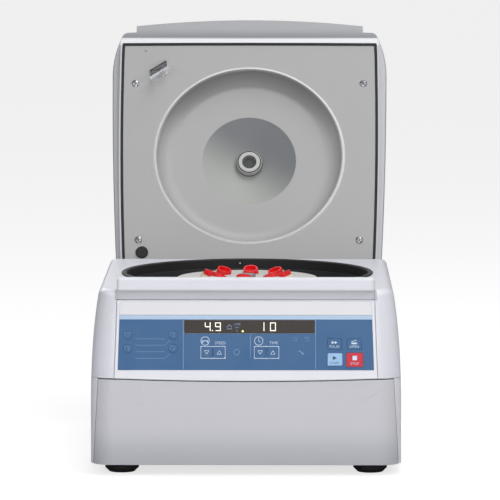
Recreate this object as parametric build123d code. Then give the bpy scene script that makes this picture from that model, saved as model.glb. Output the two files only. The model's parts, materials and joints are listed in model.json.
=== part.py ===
"""A bench-top laboratory centrifuge with its lid open.

Millimetres, +Z up, the front of the machine faces -Y. Every piece is drawn about the
rotor's axis with the bench at z = 0, and the whole machine is then moved along Y so that
the origin lies under the middle of its bounding box. Lid pieces are drawn closed and
swung open about the hinge.
"""
from build123d import *
from math import atan2, cos, radians, sin
import os

os.makedirs("parts", exist_ok=True)

# ---- housing ---------------------------------------------------------------------------
base_width = 376.0      # widest, low on the sides
front_y = -205.0        # lower front face, from the rotor axis
rear_y = 200.0          # rear face
housing_bottom = 12.0   # underside of the covers
widest_z = 65.0         # the sides start to lean in above this height
seam_z = 117.6          # joint between the upper housing and the lower covers
deck_z = 224.0          # white deck round the chamber
side_fall = 10.5        # how far each side leans in at the deck
front_fall = 9.0        # how far the front leans back at the deck
fall_power = 2.6        # shape of that lean
relief_depth = 0.8      # shallow scoops at the ends of the lower front cover
relief_reach = 25.0
plan_corner_r = 26.0    # upright corners
shoulder_r = 8.0        # rounding along the top edge
wall = 3.0              # moulded covers
seam = 0.4              # gap between neighbouring covers
front_gap = 1.2         # the lower front cover ends this far below the joint
clear = 0.3             # gap between pieces that must not touch
step_y = rear_y - 32.0          # rear step that takes the hinges
step_z = 172.0
ridge_top = 238.8       # raised bar along the front of the deck
ridge_depth = 15.0
ridge_half = base_width / 2 - side_fall - 22.0
ridge_bottom = 223.4

# ---- front bezel and keypad ------------------------------------------------------------
bezel_top_z = 212.0
bezel_half_top = base_width / 2 - side_fall - 22.5
bezel_half_bottom = bezel_half_top + 3.8
bezel_sag = 3.0         # its lower edge hangs lower in the middle
bezel_proud = 1.8
bezel_depth = 9.0
bezel_wall = 5.0
label_top_z = bezel_top_z - 1.2
label_bottom_z = 128.3
label_half_top = bezel_half_top - 3.8
label_half_bottom = bezel_half_bottom - 4.6
label_thick = 1.0
label_pocket = 0.7
key_travel = 0.6
key_proud = 0.3
key_depth = 2.6
key_rest = 0.5          # room left under a pressed key
key_clear = 0.2
window_size = (157.6, 16.0)
window_centre = (4.5, 180.4)

# key name, centre x, centre z, width, height
square_keys = [
    ("start_key", 107.4, 141.2, 17.7, 14.9),
    ("stop_key", 131.2, 140.7, 20.0, 16.8),
    ("pulse_key", 106.8, 160.0, 17.0, 13.0),
    ("open_key", 130.5, 160.0, 17.0, 13.0),
    ("speed_down_key", -47.1, 149.6, 13.6, 13.6),
    ("speed_up_key", -31.9, 149.6, 13.6, 13.6),
    ("time_down_key", 17.4, 149.6, 13.6, 13.6),
    ("time_up_key", 32.7, 149.6, 13.6, 13.6),
]
program_key_d = 10.0
program_key_x = (-142.0, -87.4)
program_key_z = (170.2, 153.9)

# ---- feet and base ---------------------------------------------------------------------
foot_d = 41.0
foot_x = base_width / 2 - 37.2
foot_front_y = front_y + 37.0
foot_rear_y = rear_y - 40.0
foot_screw_r = 2.5
pan_thick = 2.0
pan_flange = 16.0

# ---- chamber ---------------------------------------------------------------------------
chamber_r = 147.5       # inside of the bowl
chamber_floor_z = 108.0
bowl_wall = 1.5
bowl_round = 16.0
bowl_flange_z = 214.0   # top of the bowl's flange
bowl_flange_r = chamber_r + 11.5
bowl_neck_r = 24.0
gasket_outer_r = chamber_r + 9.5
gasket_inner_r = chamber_r + 3.0
gasket_top_z = 226.0
deck_hole_r = gasket_outer_r - 2.6
guard_wall = 3.0
guard_gap = 5.5         # between the bowl and the guard ring
guard_r = chamber_r + bowl_wall + guard_gap + guard_wall
guard_bottom_z = 112.0
post_d = 12.0
post_ring_r = guard_r - guard_wall / 2

# ---- motor and rotor -------------------------------------------------------------------
damper_d = 20.0
damper_reach = 62.0     # dampers lie on the corners of this half-square
damper_top_z = 44.0
motor_plate_thick = 4.0
motor_r = 52.0
motor_top_z = 96.0
motor_wall = 3.0
stator_inner_r = 29.0
armature_r = 28.2
shaft_r = 6.0
shaft_bottom_z = 30.0
shaft_top_z = 206.0
bearing_r = 16.0
bearing_thick = 9.0
running_clear = 0.05
fixed_clear = 0.02
cone_top_r = 11.0
cone_bottom_r = 19.0
cone_bottom_z = 112.0
cone_top_z = 150.0

rotor_top_z = 218.5
rotor_top_r = 87.0
rotor_bottom_r = 103.0
rotor_bottom_z = 126.0
rotor_skin = 4.0
rotor_hub_r = 17.0
nut_r = 10.5
nut_height = 4.5
tube_count = 8
tube_phase = -5.0       # turn of the whole set of tubes
tube_tilt = 23.0
tube_r = 8.0
tube_wall = 1.1
tube_length = 92.0
cap_wall = 1.2
cap_r = tube_r + cap_wall
cap_length = 15.0
cap_grip = 9.0          # how far the cap reaches down over the tube
cap_top_radius = 44.6   # distance of the cap's top from the rotor axis
cap_top_z = 225.0
tube_clear = 0.35
sleeve_wall = 1.8
sleeve_floor = 2.0

# ---- lid, drawn closed -----------------------------------------------------------------
hinge_y = rear_y - 18.0
hinge_z = 199.0
lid_open = 117.0
lid_rim_z = deck_z + 1.2  # lower edge of the closed lid
lid_rim_rear_y = hinge_y - 6.0
lid_rim_front_y = front_y + 37.0
lid_rim_half = base_width / 2 - side_fall - 5.4
lid_rim_wall = 2.2
lid_front_rim = 4.3     # the rim is this much wider along the front
lid_shelf_z = ridge_top + 1.4  # underside of the lid outside its rim
lid_rim_corner_r = 4.0
lid_belt_z = 246.0      # widest level of the lid
lid_belt_half = lid_rim_half + 8.7
lid_belt_front_y = front_y + 17.0
lid_belt_corner_r = 5.0
lid_skirt = 1.5         # how far the lid's side draws in below its widest level
lid_waist_y = -30.0     # the sides bow outward as far as here
lid_shoulder_y = front_y + 82.0  # and turn in towards the front from here
lid_top_z = 266.0
# rounding of the lid's top: share of the height, how far it draws in
lid_crown = [(0.0, 0.0), (0.5, 2.0), (0.85, 7.0), (1.0, 14.0)]
lid_wall = 3.0
lip_front_y = lid_belt_front_y - 13.0
lip_half = lid_belt_half - 29.8
lip_bow = 8.7
lip_thick = 7.0
lid_gasket_width = 3.2
panel_inset = lid_rim_wall + clear + lid_gasket_width
panel_thick = 2.5
panel_z = deck_z + 2.5  # inner face of the lid's panel
bead_r = 126.0
bead_width = 5.0
bead_height = 1.6
dish_depth = 19.0
dish_floor_r = 100.0
cone_r = 62.0
cone_depth = 12.0
port_r = 15.5
port_hole_r = 8.0
lid_screw_xy = [(151.0, -102.9), (144.3, 119.8)]
lid_screw_r = 5.0
lid_screw_shank_r = 1.6
lid_screw_head = 2.0
lid_boss_r = 4.5
lid_screw_depth = 12.0
bumper_xy = (-139.5, 137.4)
panel_hole_xy = (-138.0, -149.2)
bumper_r = 8.2
bumper_height = 2.2

# ---- hinges ----------------------------------------------------------------------------
hinge_x = 121.0         # middle of each hinge
arm_thick = 6.0
bracket_thick = 4.0
bracket_gap = 0.8       # between the arm and the bracket's cheeks
hinge_pin_r = 4.0
arm_r = 9.0

# ---- lock ------------------------------------------------------------------------------
lock_reach = chamber_r + 22.0  # the striker's distance from the rotor axis
lock_bearing = 224.6            # and its bearing, from +X
lock_turn = 146.0       # the striker's long side lies along the chamber ring
striker_width = 26.0
striker_thick = 2.0
striker_bottom_z = panel_z - 21.5
pawl_width = 10.0
pawl_height = 5.0
pawl_z = striker_bottom_z + 7.5
striker_foot = 9.0      # the striker's foot on the panel
striker_foot_thick = 0.9
striker_screw_r = 4.0
striker_screw_xy = (-4.4, -5.0)
striker_screw_head = 1.2
lock_case_width = 40.0
lock_case_inner = 6.0   # how far the case reaches from the striker to the chamber
lock_case_outer = 34.0
lock_slot_clear = 2.6

# ---- rear fittings ---------------------------------------------------------------------
inlet_x = 95.0
inlet_z = 62.0
inlet_size = (50.0, 30.0)
socket_size = (27.5, 20.0)
socket_depth = 17.0
switch_x = 40.0
switch_size = (22.0, 30.0)
rocker_travel = 16.0
fan_x = -85.0
fan_z = 66.0
fan_size = 70.0
fan_depth = 20.0
fan_hole_r = 32.0
fan_blades = 7
rear_screw_r = 3.0


# ======================================================================== small helpers
def block(x0, x1, y0, y1, z0, z1):
    """A box given by its lowest and highest corners."""
    middle = ((x0 + x1) / 2, (y0 + y1) / 2, (z0 + z1) / 2)
    return Pos(*middle) * Box(abs(x1 - x0), abs(y1 - y0), abs(z1 - z0))


def rod(radius, z0, z1, x=0.0, y=0.0):
    """An upright cylinder."""
    return Pos(x, y, (z0 + z1) / 2) * Cylinder(radius, z1 - z0)


def tube(outer, inner, z0, z1, x=0.0, y=0.0):
    """An upright ring."""
    return rod(outer, z0, z1, x, y) - rod(inner, z0 - 1, z1 + 1, x, y)


def rod_x(radius, x0, x1, y, z):
    """A cylinder along X."""
    return Pos((x0 + x1) / 2, y, z) * Rot(0, 90, 0) * Cylinder(radius, abs(x1 - x0))


def rod_y(radius, y0, y1, x, z):
    """A cylinder along Y."""
    return Pos(x, (y0 + y1) / 2, z) * Rot(90, 0, 0) * Cylinder(radius, abs(y1 - y0))


def turned(points):
    """A solid of revolution about Z from (radius, height) points."""
    profile = make_face(Polyline(*[(r, 0, z) for r, z in points], close=True))
    return revolve(profile, Axis.Z, 360)


def group(solids):
    """Several separate solids kept in one node."""
    return Compound([one for shape in solids for one in shape.solids()])


def around(make, count, start=0.0):
    """Copies of one solid spread evenly about the rotor axis."""
    return [Rot(0, 0, start + k * 360 / count) * make for k in range(count)]


# ======================================================================== housing shells
def lean(z):
    """Share of the full lean at height z."""
    return max(0.0, (z - widest_z) / (deck_z - widest_z)) ** fall_power


def half_width(z):
    """Half the housing's width at height z."""
    return base_width / 2 - side_fall * lean(z)


def front_face(z):
    """The housing's front face at height z."""
    return front_y + front_fall * lean(z)


def housing_section(z, inset):
    """One level of the housing as a rounded rectangle."""
    width = 2 * (half_width(z) - inset)
    depth = rear_y - front_face(z) - 2 * inset
    middle = (rear_y + front_face(z)) / 2
    return Pos(0, middle, z) * RectangleRounded(width, depth, plan_corner_r - inset)


def housing_block(inset, low, high):
    """The solid shape of the whole housing, drawn in by a wall."""
    levels = [z for z in (widest_z, seam_z, 165.0, 200.0) if low + 4 < z < high - 4]
    return loft([housing_section(z, inset) for z in [low, *levels, high]])


def outer_block():
    """The housing's outside with its rounded top edge."""
    body = housing_block(0.0, housing_bottom, deck_z)
    return fillet(body.edges().group_by(Axis.Z)[-1], shoulder_r)


def inner_block():
    """The space inside the housing."""
    return housing_block(wall, housing_bottom - 1, deck_z - wall)


def bezel_outline(extra=0.0):
    """The front bezel seen from the front, as a plate along Y."""
    y, low, high = front_y - 20, seam_z + seam / 2 - extra, bezel_top_z + extra
    left, right = (-bezel_half_bottom - extra, y, low), (bezel_half_bottom + extra, y, low)
    sides = Polyline(
        left, (-bezel_half_top - extra, y, high), (bezel_half_top + extra, y, high), right
    )
    face = make_face(sides + ThreePointArc(right, (0, y, low - bezel_sag), left))
    return extrude(face, amount=60, dir=(0, 1, 0))


def step_space():
    """Space at the rear of the top where the hinges stand and the lid swings."""
    return block(-base_width, base_width, step_y, rear_y + 40, step_z, ridge_top + 40)


def step_walls(outer):
    """Upright wall and floor that close the rear step."""
    upright = block(-base_width, base_width, step_y - wall, step_y, step_z - wall, deck_z)
    floor = block(-base_width, base_width, step_y - wall, rear_y, step_z - wall, step_z)
    return (upright + floor) & outer


def front_ridge():
    """The raised bar along the front of the deck."""
    face = front_face(deck_z) - 1.5
    bar = block(-ridge_half, ridge_half, face, face + ridge_depth, ridge_bottom, ridge_top)
    bar = fillet(bar.edges().filter_by(Axis.X).group_by(Axis.Z)[-1], 3.0)
    return fillet(bar.edges().filter_by(Axis.Z), 4.0)


def striker_place():
    """Where the lid's striker stands when the lid is closed."""
    bearing = radians(lock_bearing)
    place = Pos(lock_reach * cos(bearing), lock_reach * sin(bearing), 0)
    return place * Rot(0, 0, lock_turn)


def striker_slot(z0, z1):
    """The slot that the striker drops through."""
    width = striker_width + 2 * lock_slot_clear
    depth = striker_thick + 2 * lock_slot_clear
    return striker_place() * (Pos(0, 0, (z0 + z1) / 2) * Box(width, depth, z1 - z0))


def upper_housing(outer, inner):
    """Deck, shoulders and upper side walls in one moulding."""
    floor = seam_z + seam / 2
    body = (outer - inner) & block(-300, 300, -300, 300, floor, deck_z + 1)
    body -= step_space()
    body += step_walls(outer)
    band = front_face(ridge_bottom)
    band_half = bezel_half_top + 1
    body += block(-band_half, band_half, band + 2, band + 7, bezel_top_z + seam, deck_z)
    body -= block(-ridge_half, ridge_half, band - 9, band + 2.5, bezel_top_z, ridge_bottom)
    body += front_ridge()
    body -= bezel_outline(seam)
    body -= rod(deck_hole_r, deck_z - 12, ridge_top + 20)
    body -= striker_slot(deck_z - 8, deck_z + 8)
    return body


def bezel_plane():
    """Frame on the bezel's outer face: x to the right, y up the slope, z outward."""
    low = front_face(seam_z) - bezel_proud
    high = front_face(bezel_top_z) - bezel_proud
    up = Vector(0, high - low, bezel_top_z - seam_z).normalized()
    right = Vector(1, 0, 0)
    middle = Vector(0, (low + high) / 2, (seam_z + bezel_top_z) / 2)
    return Plane(origin=middle, x_dir=right, z_dir=right.cross(up))


def on_bezel(z):
    """Distance up the bezel's slope for a height z."""
    plane = bezel_plane()
    return (z - plane.origin.Z) / plane.y_dir.Z


def label_outline(extra, depth, base):
    """The keypad's outline as a plate: depth is its thickness, base its outer level."""
    low, high = on_bezel(label_bottom_z) - extra, on_bezel(label_top_z) + extra
    corners = [
        (-label_half_bottom - extra, low),
        (label_half_bottom + extra, low),
        (label_half_top + extra, high),
        (-label_half_top - extra, high),
    ]
    sheet = make_face(Polyline(*corners, close=True))
    return bezel_plane() * (Pos(0, 0, base) * extrude(sheet, amount=-depth))


def key_shape(width, height, outer, inner, extra):
    """A key's plate, square or round, between two levels of the bezel's frame."""
    if height is None:
        sheet = Circle(width / 2 + extra)
    else:
        sheet = RectangleRounded(width + 2 * extra, height + 2 * extra, 1.6 + extra)
    return Pos(0, 0, outer) * extrude(sheet, amount=inner - outer)


def all_keys():
    """Every key as name, place and size."""
    keys = [(n, x, z, w, h) for n, x, z, w, h in square_keys]
    number = 1
    for z in program_key_z:
        for x in program_key_x:
            keys.append((f"program_key_{number}", x, z, program_key_d, None))
            number += 1
    return keys


def key_solid(x, z, width, height, outer, inner, extra=0.0):
    """A key, or the hole for it, in its place on the bezel."""
    place = Pos(x, on_bezel(z), 0)
    return bezel_plane() * (place * key_shape(width, height, outer, inner, extra))


def label_levels():
    """Outer and inner face of the keypad in the bezel's frame."""
    outer = label_thick - label_pocket
    return outer, outer - label_thick


def front_bezel():
    """The bezel: a thick sloping plate with pockets for the keypad and its keys."""
    low, high = seam_z - bezel_sag, bezel_top_z
    y_seam = front_face(seam_z) - bezel_proud
    y_high = front_face(high) - bezel_proud
    y_low = y_seam - (y_high - y_seam) * bezel_sag / (high - seam_z)
    side = make_face(
        Polyline(
            (-200, y_low, low),
            (-200, y_high, high),
            (-200, y_high + bezel_depth, high),
            (-200, y_low + bezel_depth, low),
            close=True,
        )
    )
    plate = extrude(side, amount=400, dir=(1, 0, 0)) & bezel_outline()
    plate = fillet(plate.faces().sort_by(Axis.Y)[0].edges(), 1.0)
    hollow = label_outline(-8, bezel_depth * 2, -bezel_wall)
    plate -= hollow
    plate -= label_outline(clear, 5, label_levels()[1] + 5)
    floor = label_levels()[1] - key_depth
    for _, x, z, width, height in all_keys():
        plate -= key_solid(x, z, width, height, 3, floor, key_clear)
    plate -= window_solid(clear, label_levels()[1] + 3, -bezel_wall - 6, -3)
    return plate


def window_solid(extra, outer, inner, shrink=0.0):
    """The display window or the hole for it."""
    width, height = (size + 2 * (extra + shrink) for size in window_size)
    sheet = RectangleRounded(width, height, 1.2)
    place = Pos(window_centre[0], on_bezel(window_centre[1]), outer)
    return bezel_plane() * (place * extrude(sheet, amount=inner - outer))


def keypad_label():
    """The keypad's front sheet with openings for the keys and the display."""
    outer, inner = label_levels()
    sheet = label_outline(0.0, label_thick, outer)
    for _, x, z, width, height in all_keys():
        sheet -= key_solid(x, z, width, height, outer + 1, inner - 1, key_clear)
    return sheet - window_solid(clear, outer + 1, inner - 1)


def display_window():
    """The tinted window over the display."""
    outer = label_levels()[0]
    return window_solid(0.0, outer, outer - label_thick)


def display_board():
    """The circuit board with the digits' block behind the window."""
    outer = label_levels()[1] - clear
    digits = window_solid(-1.0, outer, -bezel_wall - 4.0, -3)
    board = Pos(0, 0, -bezel_wall - 4.0) * extrude(Rectangle(170, 40), amount=-1.6)
    place = Pos(window_centre[0], on_bezel(window_centre[1]) - 4, 0)
    return digits + bezel_plane() * (place * board)


def control_board():
    """The control circuit board behind the keypad, on four spacers."""
    board = Pos(0, 0, -bezel_wall - 9.0) * extrude(Rectangle(270, 60), amount=-1.6)
    for x in (-60, 10, 75):
        board += Pos(x, -16, -bezel_wall - 10.6) * extrude(Rectangle(16, 16), amount=-2.5)
    for x in (-128, 128):
        for y in (-24, 24):
            spacer = extrude(Circle(3.0), amount=-9.0)
            board += Pos(x, y, -bezel_wall) * spacer
    return bezel_plane() * board


def lower_region(low, high):
    """A slice of the housing between two heights."""
    return block(-300, 300, -300, 300, low, high)


def front_cover_region(shrink):
    """The lower front cover seen from the front, as a plate along Y."""
    top_half = half_width(seam_z) - 9.0 - shrink
    bottom_half = base_width / 2 - 3.2 - shrink
    corners = [
        (-bottom_half, housing_bottom - 1),
        (bottom_half, housing_bottom - 1),
        (top_half, seam_z),
        (-top_half, seam_z),
    ]
    face = make_face(Polyline(*[(x, front_y - 30, z) for x, z in corners], close=True))
    return extrude(face, amount=30 + plan_corner_r + shrink, dir=(0, 1, 0))


def smile_recess():
    """The shallow scoops at both ends of the lower front cover, ended by a curved edge."""
    half, turn = bezel_half_bottom + 30.0, bezel_half_bottom - 18.0
    top, ends, low, dip = seam_z + 5, seam_z + 3, seam_z - 30.0, seam_z - 44.0
    y = front_y + 2 * relief_depth
    bend = ((half + turn) / 2 - 5.0, y, (ends + low) / 2 - 2.5)
    edges = [
        ThreePointArc((-half, y, ends), (-bend[0], y, bend[2]), (-turn, y, low)),
        ThreePointArc((-turn, y, low), (0, y, dip), (turn, y, low)),
        ThreePointArc((turn, y, low), bend, (half, y, ends)),
        Line((half, y, ends), (half, y, top)),
        Line((half, y, top), (-half, y, top)),
        Line((-half, y, top), (-half, y, ends)),
    ]
    radius = relief_reach**2 / (2 * relief_depth)
    x = bezel_half_bottom - 12.0
    place = front_y + relief_depth - radius
    scoops = rod(radius, low - 30, top, -x, place) + rod(radius, low - 30, top, x, place)
    return extrude(make_face(edges), amount=20, dir=(0, -1, 0)) & scoops


def lower_front_cover(shell):
    """The lower front cover."""
    top = seam_z - front_gap
    cover = shell & front_cover_region(seam / 2)
    cover &= lower_region(housing_bottom + 0.5, top)
    cover -= bezel_outline(front_gap)
    return cover - smile_recess()


def rear_region(shrink):
    """The rear panel's outline as a plate along Y."""
    half = base_width / 2 - plan_corner_r - shrink
    return block(-half, half, rear_y - wall - 1, rear_y + 9, housing_bottom, seam_z)


def side_cover(shell, side):
    """The lower side cover, wrapped round to the rear panel."""
    top = seam_z - seam / 2
    body = shell & lower_region(housing_bottom + 0.5, top)
    body -= front_cover_region(-seam / 2)
    body -= rear_region(-seam / 2)
    half = block(0, side * 300, -300, 300, 0, 300)
    body &= half
    for k in range(7):
        y = 20 + k * 14.0
        outer = side * base_width
        slot = block(side * (base_width / 2 - 15), outer, y, y + 5, 34, 78)
        body -= slot
    return body


def rear_panel(shell):
    """The rear panel with the openings for its fittings."""
    top = seam_z - seam / 2
    panel = shell & rear_region(seam / 2)
    panel &= lower_region(housing_bottom + 0.5, top)
    through = (rear_y - 10, rear_y + 5)
    width, height = (size - 8 for size in inlet_size)
    panel -= block(
        inlet_x - width / 2, inlet_x + width / 2, *through,
        inlet_z - height / 2, inlet_z + height / 2,
    )
    width, height = (size - 2 for size in switch_size)
    panel -= block(
        switch_x - width / 2, switch_x + width / 2, *through,
        inlet_z - height / 2, inlet_z + height / 2,
    )
    panel -= rod_y(fan_hole_r, *through, fan_x, fan_z)
    for x, z in rear_screw_places():
        panel -= rod_y(rear_screw_r / 2 + 0.2, *through, x, z)
    return panel


def rear_screw_places():
    """Screws that hold the rear panel."""
    half = base_width / 2 - plan_corner_r - 9
    return [(x, z) for x in (-half, half) for z in (24.0, seam_z - 12)]


def rear_screws():
    """Pan-head screws of the rear panel."""
    solids = []
    for x, z in rear_screw_places():
        head = rod_y(rear_screw_r, rear_y, rear_y + 1.8, x, z)
        head -= block(x - 0.5, x + 0.5, rear_y + 0.9, rear_y + 3, z - 2, z + 2)
        solids.append(head + rod_y(rear_screw_r / 2, rear_y - 9, rear_y + 0.5, x, z))
    return solids


# ======================================================================== base and feet
def foot_places():
    """The four feet."""
    return [(x, y) for x in (-foot_x, foot_x) for y in (foot_front_y, foot_rear_y)]


def base_pan():
    """The steel pan that carries everything."""
    inset = wall + clear
    top = housing_bottom + pan_flange
    pan = housing_block(inset, housing_bottom, top)
    pan -= housing_block(inset + pan_thick, housing_bottom + pan_thick, top + 1)
    for x, y in foot_places():
        pan -= rod(foot_screw_r + clear, 0, 40, x, y)
    for k in range(9):
        x = -56 + k * 14.0
        pan -= block(x - 2.5, x + 2.5, 92, 136, 0, 16)
    for x, z in rear_screw_places():
        pan -= rod_y(rear_screw_r / 2 + clear, rear_y - 20, rear_y, x, z)
    return pan


def feet():
    """Domed rubber feet with a pocket for the screw's head."""
    profile = [
        (foot_screw_r + clear, 6.5),
        (6.0, 6.5),
        (6.0, 0.0),
        (foot_d / 2 - 5, 0.0),
        (foot_d / 2, 5.0),
        (foot_d / 2, housing_bottom - 1.0),
        (foot_d / 2 - 1.0, housing_bottom),
        (foot_screw_r + clear, housing_bottom),
    ]
    foot = turned(profile)
    return group(Pos(x, y, 0) * foot for x, y in foot_places())


def foot_screws():
    """Screws that hold the feet to the pan."""
    solids = []
    floor = housing_bottom + pan_thick
    for x, y in foot_places():
        screw = rod(5.0, 3.0, 6.5, x, y) + rod(foot_screw_r, 6.0, floor + 5, x, y)
        solids.append(screw + rod(4.6, floor, floor + 4, x, y))
    return solids


# ======================================================================== chamber
def chamber_bowl():
    """The bowl round the rotor."""
    outer = chamber_r + bowl_wall
    low = chamber_floor_z - bowl_wall
    flange = bowl_flange_z - bowl_wall
    points = [
        (bowl_neck_r, low),
        (outer - bowl_round, low),
        (outer, low + bowl_round),
        (outer, flange),
        (bowl_flange_r, flange),
        (bowl_flange_r, bowl_flange_z),
        (chamber_r, bowl_flange_z),
        (chamber_r, chamber_floor_z + bowl_round),
        (chamber_r - bowl_round, chamber_floor_z),
        (bowl_neck_r + bowl_wall, chamber_floor_z),
        (bowl_neck_r + bowl_wall, chamber_floor_z + 4),
        (bowl_neck_r, chamber_floor_z + 4),
    ]
    return turned(points)


def chamber_gasket():
    """The black seal that lines the deck's opening."""
    points = [
        (gasket_inner_r, bowl_flange_z),
        (deck_hole_r - clear, bowl_flange_z),
        (deck_hole_r - clear, deck_z),
        (gasket_outer_r, deck_z),
        (gasket_outer_r, gasket_top_z - 0.8),
        (gasket_outer_r - 0.8, gasket_top_z),
        (gasket_inner_r + 1.2, gasket_top_z),
        (gasket_inner_r, gasket_top_z - 1.2),
    ]
    return turned(points)


def guard_ring():
    """The steel ring that would hold a broken rotor."""
    return tube(guard_r, guard_r - guard_wall, guard_bottom_z, bowl_flange_z - bowl_wall)


def chamber_posts():
    """Four posts that carry the guard ring on the pan."""
    floor = housing_bottom + pan_thick
    post = rod(post_d / 2, floor, guard_bottom_z, post_ring_r, 0)
    return group(around(post, 4, 45))


# ======================================================================== motor
def damper_places():
    """Rubber mounts under the motor's plate."""
    reach = damper_reach
    return [(x, y) for x in (-reach, reach) for y in (-reach, reach)]


def motor_dampers():
    """Rubber mounts with a waist."""
    floor = housing_bottom + pan_thick
    middle = (floor + damper_top_z) / 2
    big = damper_d / 2
    points = [(0, floor), (big, floor), (big - 3, middle), (big, damper_top_z), (0, damper_top_z)]
    return group(Pos(x, y, 0) * turned(points) for x, y in damper_places())


def motor_plate():
    """The plate that the motor is screwed to."""
    half = damper_reach + 14
    top = damper_top_z + motor_plate_thick
    plate = block(-half, half, -half, half, damper_top_z, top)
    plate = fillet(plate.edges().filter_by(Axis.Z), 12)
    return plate - rod(bearing_r + 6, 0, 100)


def motor_housing():
    """The motor's can with both bearing seats."""
    low = damper_top_z + motor_plate_thick
    bore = bearing_r + fixed_clear
    neck = bearing_r + 5
    points = [
        (neck - 12, shaft_bottom_z + 2),
        (neck, shaft_bottom_z + 2),
        (neck, low),
        (motor_r, low),
        (motor_r, motor_top_z - 4),
        (motor_r - 4, motor_top_z),
        (neck, motor_top_z),
        (neck, motor_top_z + 5),
        (bore, motor_top_z + 5),
        (bore, motor_top_z - 6),
        (bearing_r - 4, motor_top_z - 6),
        (bearing_r - 4, motor_top_z - 8),
        (motor_r - motor_wall, motor_top_z - 8),
        (motor_r - motor_wall, low + motor_wall),
        (bore, low + motor_wall),
        (bore, shaft_bottom_z + 5),
        (neck - 12, shaft_bottom_z + 5),
    ]
    return turned(points)


def motor_stator():
    """Laminated ring and windings."""
    low = damper_top_z + motor_plate_thick + motor_wall + 4
    high = motor_top_z - 12
    outer = motor_r - motor_wall - fixed_clear
    ring = tube(outer, stator_inner_r, low, high)
    slot = block(stator_inner_r - 1, stator_inner_r + 9, -2.2, 2.2, low - 1, high + 1)
    for cut in around(slot, 12):
        ring -= cut
    return ring


def motor_windings():
    """Copper windings above and below the laminations."""
    low = damper_top_z + motor_plate_thick + motor_wall + 4
    high = motor_top_z - 12
    outer, inner = motor_r - motor_wall - 4, stator_inner_r + 4
    return [tube(outer, inner, high, high + 3), tube(outer, inner, low - 3, low)]


def motor_armature():
    """The motor's own rotor on the shaft."""
    low = damper_top_z + motor_plate_thick + motor_wall + 5
    return tube(armature_r, shaft_r + fixed_clear, low, motor_top_z - 13)


def bearing_places():
    """Lower level of each bearing."""
    return (shaft_bottom_z + 5, motor_top_z - 6)


def motor_bearings():
    """Two ball bearings, each as one ring, fixed in the motor."""
    inner = shaft_r + running_clear
    return group(
        tube(bearing_r, inner, low, low + bearing_thick) for low in bearing_places()
    )


def motor_boot():
    """The rubber boot between the motor and the bowl's floor."""
    low = motor_top_z
    inner = bearing_r + 5 + fixed_clear
    outer = bowl_neck_r - clear
    return tube(outer, inner, low, chamber_floor_z + 3)


def motor_shaft():
    """The shaft with a shoulder for the drive cone and a threaded end."""
    shaft = rod(shaft_r, shaft_bottom_z + 5, shaft_top_z)
    return chamfer(shaft.edges().group_by(Axis.Z)[-1], 1.2)


def drive_cone():
    """The cone that the tube rotor sits on."""
    points = [
        (shaft_r + fixed_clear, cone_bottom_z),
        (cone_bottom_r, cone_bottom_z),
        (cone_bottom_r, cone_bottom_z + 6),
        (cone_top_r, cone_top_z),
        (shaft_r + fixed_clear, cone_top_z),
    ]
    return turned(points)


# ======================================================================== rotor and tubes
def tube_place(distance):
    """Frame of a tube at +X, its origin a distance down the tube's axis from the cap's top."""
    tilt = radians(tube_tilt)
    x = cap_top_radius + distance * sin(tilt)
    z = cap_top_z - distance * cos(tilt)
    return Pos(x, 0, z) * Rot(0, -tube_tilt, 0)


def along_tube(radius, near, far):
    """A cylinder along a tube's axis between two distances from the cap's top."""
    return tube_place((near + far) / 2) * Cylinder(radius, far - near)


def tube_end():
    """Distance from the cap's top to the tube's round end."""
    return cap_length - cap_grip + tube_length


def tube_rotor():
    """The rotor: a conical shell with a hub and eight tilted sleeves."""
    skin = rotor_skin
    outside = [
        (0, rotor_bottom_z),
        (rotor_bottom_r, rotor_bottom_z),
        (rotor_bottom_r, rotor_bottom_z + 8),
        (rotor_top_r + 3, rotor_top_z - 4),
        (rotor_top_r, rotor_top_z),
        (0, rotor_top_z),
    ]
    inside = [
        (rotor_hub_r + 6, rotor_bottom_z - 1),
        (rotor_bottom_r - skin, rotor_bottom_z - 1),
        (rotor_bottom_r - skin, rotor_bottom_z + 8),
        (rotor_top_r + 3 - skin, rotor_top_z - skin - 3),
        (rotor_hub_r + 3, rotor_top_z - skin - 3),
    ]
    envelope = turned(outside)
    body = envelope - turned(inside)
    sleeve_r = tube_r + tube_clear + sleeve_wall
    cap_bore = cap_r + tube_clear
    sleeve = along_tube(sleeve_r, 8, tube_end() + tube_clear + sleeve_floor)
    sleeve += along_tube(cap_bore + sleeve_wall, 8, cap_length + 3)
    for one in around(sleeve, tube_count, tube_phase):
        body += one & envelope
    bore = along_tube(cap_bore, -10, cap_length)
    bore += along_tube(tube_r + tube_clear, -10, tube_end() + tube_clear)
    bore += along_tube(3.0, -10, tube_end() + 40)
    for one in around(bore, tube_count, tube_phase):
        body -= one
    seat = [
        (0, rotor_bottom_z - 20),
        (cone_radius(rotor_bottom_z - 20) + clear, rotor_bottom_z - 20),
        (cone_top_r + clear, cone_top_z),
        (cone_top_r + clear, cone_top_z + clear),
        (shaft_r + fixed_clear, cone_top_z + clear),
        (shaft_r + fixed_clear, rotor_top_z + 5),
        (0, rotor_top_z + 5),
    ]
    return body - turned(seat)


def cone_radius(z):
    """Radius of the drive cone, carried on past its ends."""
    slope = (cone_bottom_r - cone_top_r) / (cone_top_z - cone_bottom_z - 6)
    return cone_top_r + slope * (cone_top_z - z)


def rotor_nut():
    """The knurled nut that holds the rotor on the shaft."""
    nut = rod(nut_r, rotor_top_z, rotor_top_z + nut_height)
    nut = fillet(nut.edges().group_by(Axis.Z)[-1], 1.2)
    for cut in around(rod(1.2, rotor_top_z, rotor_top_z + 20, nut_r + 0.6, 0), 18):
        nut -= cut
    nut += rod(shaft_r - 0.6, rotor_top_z - 11, rotor_top_z + 1)
    return nut


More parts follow.
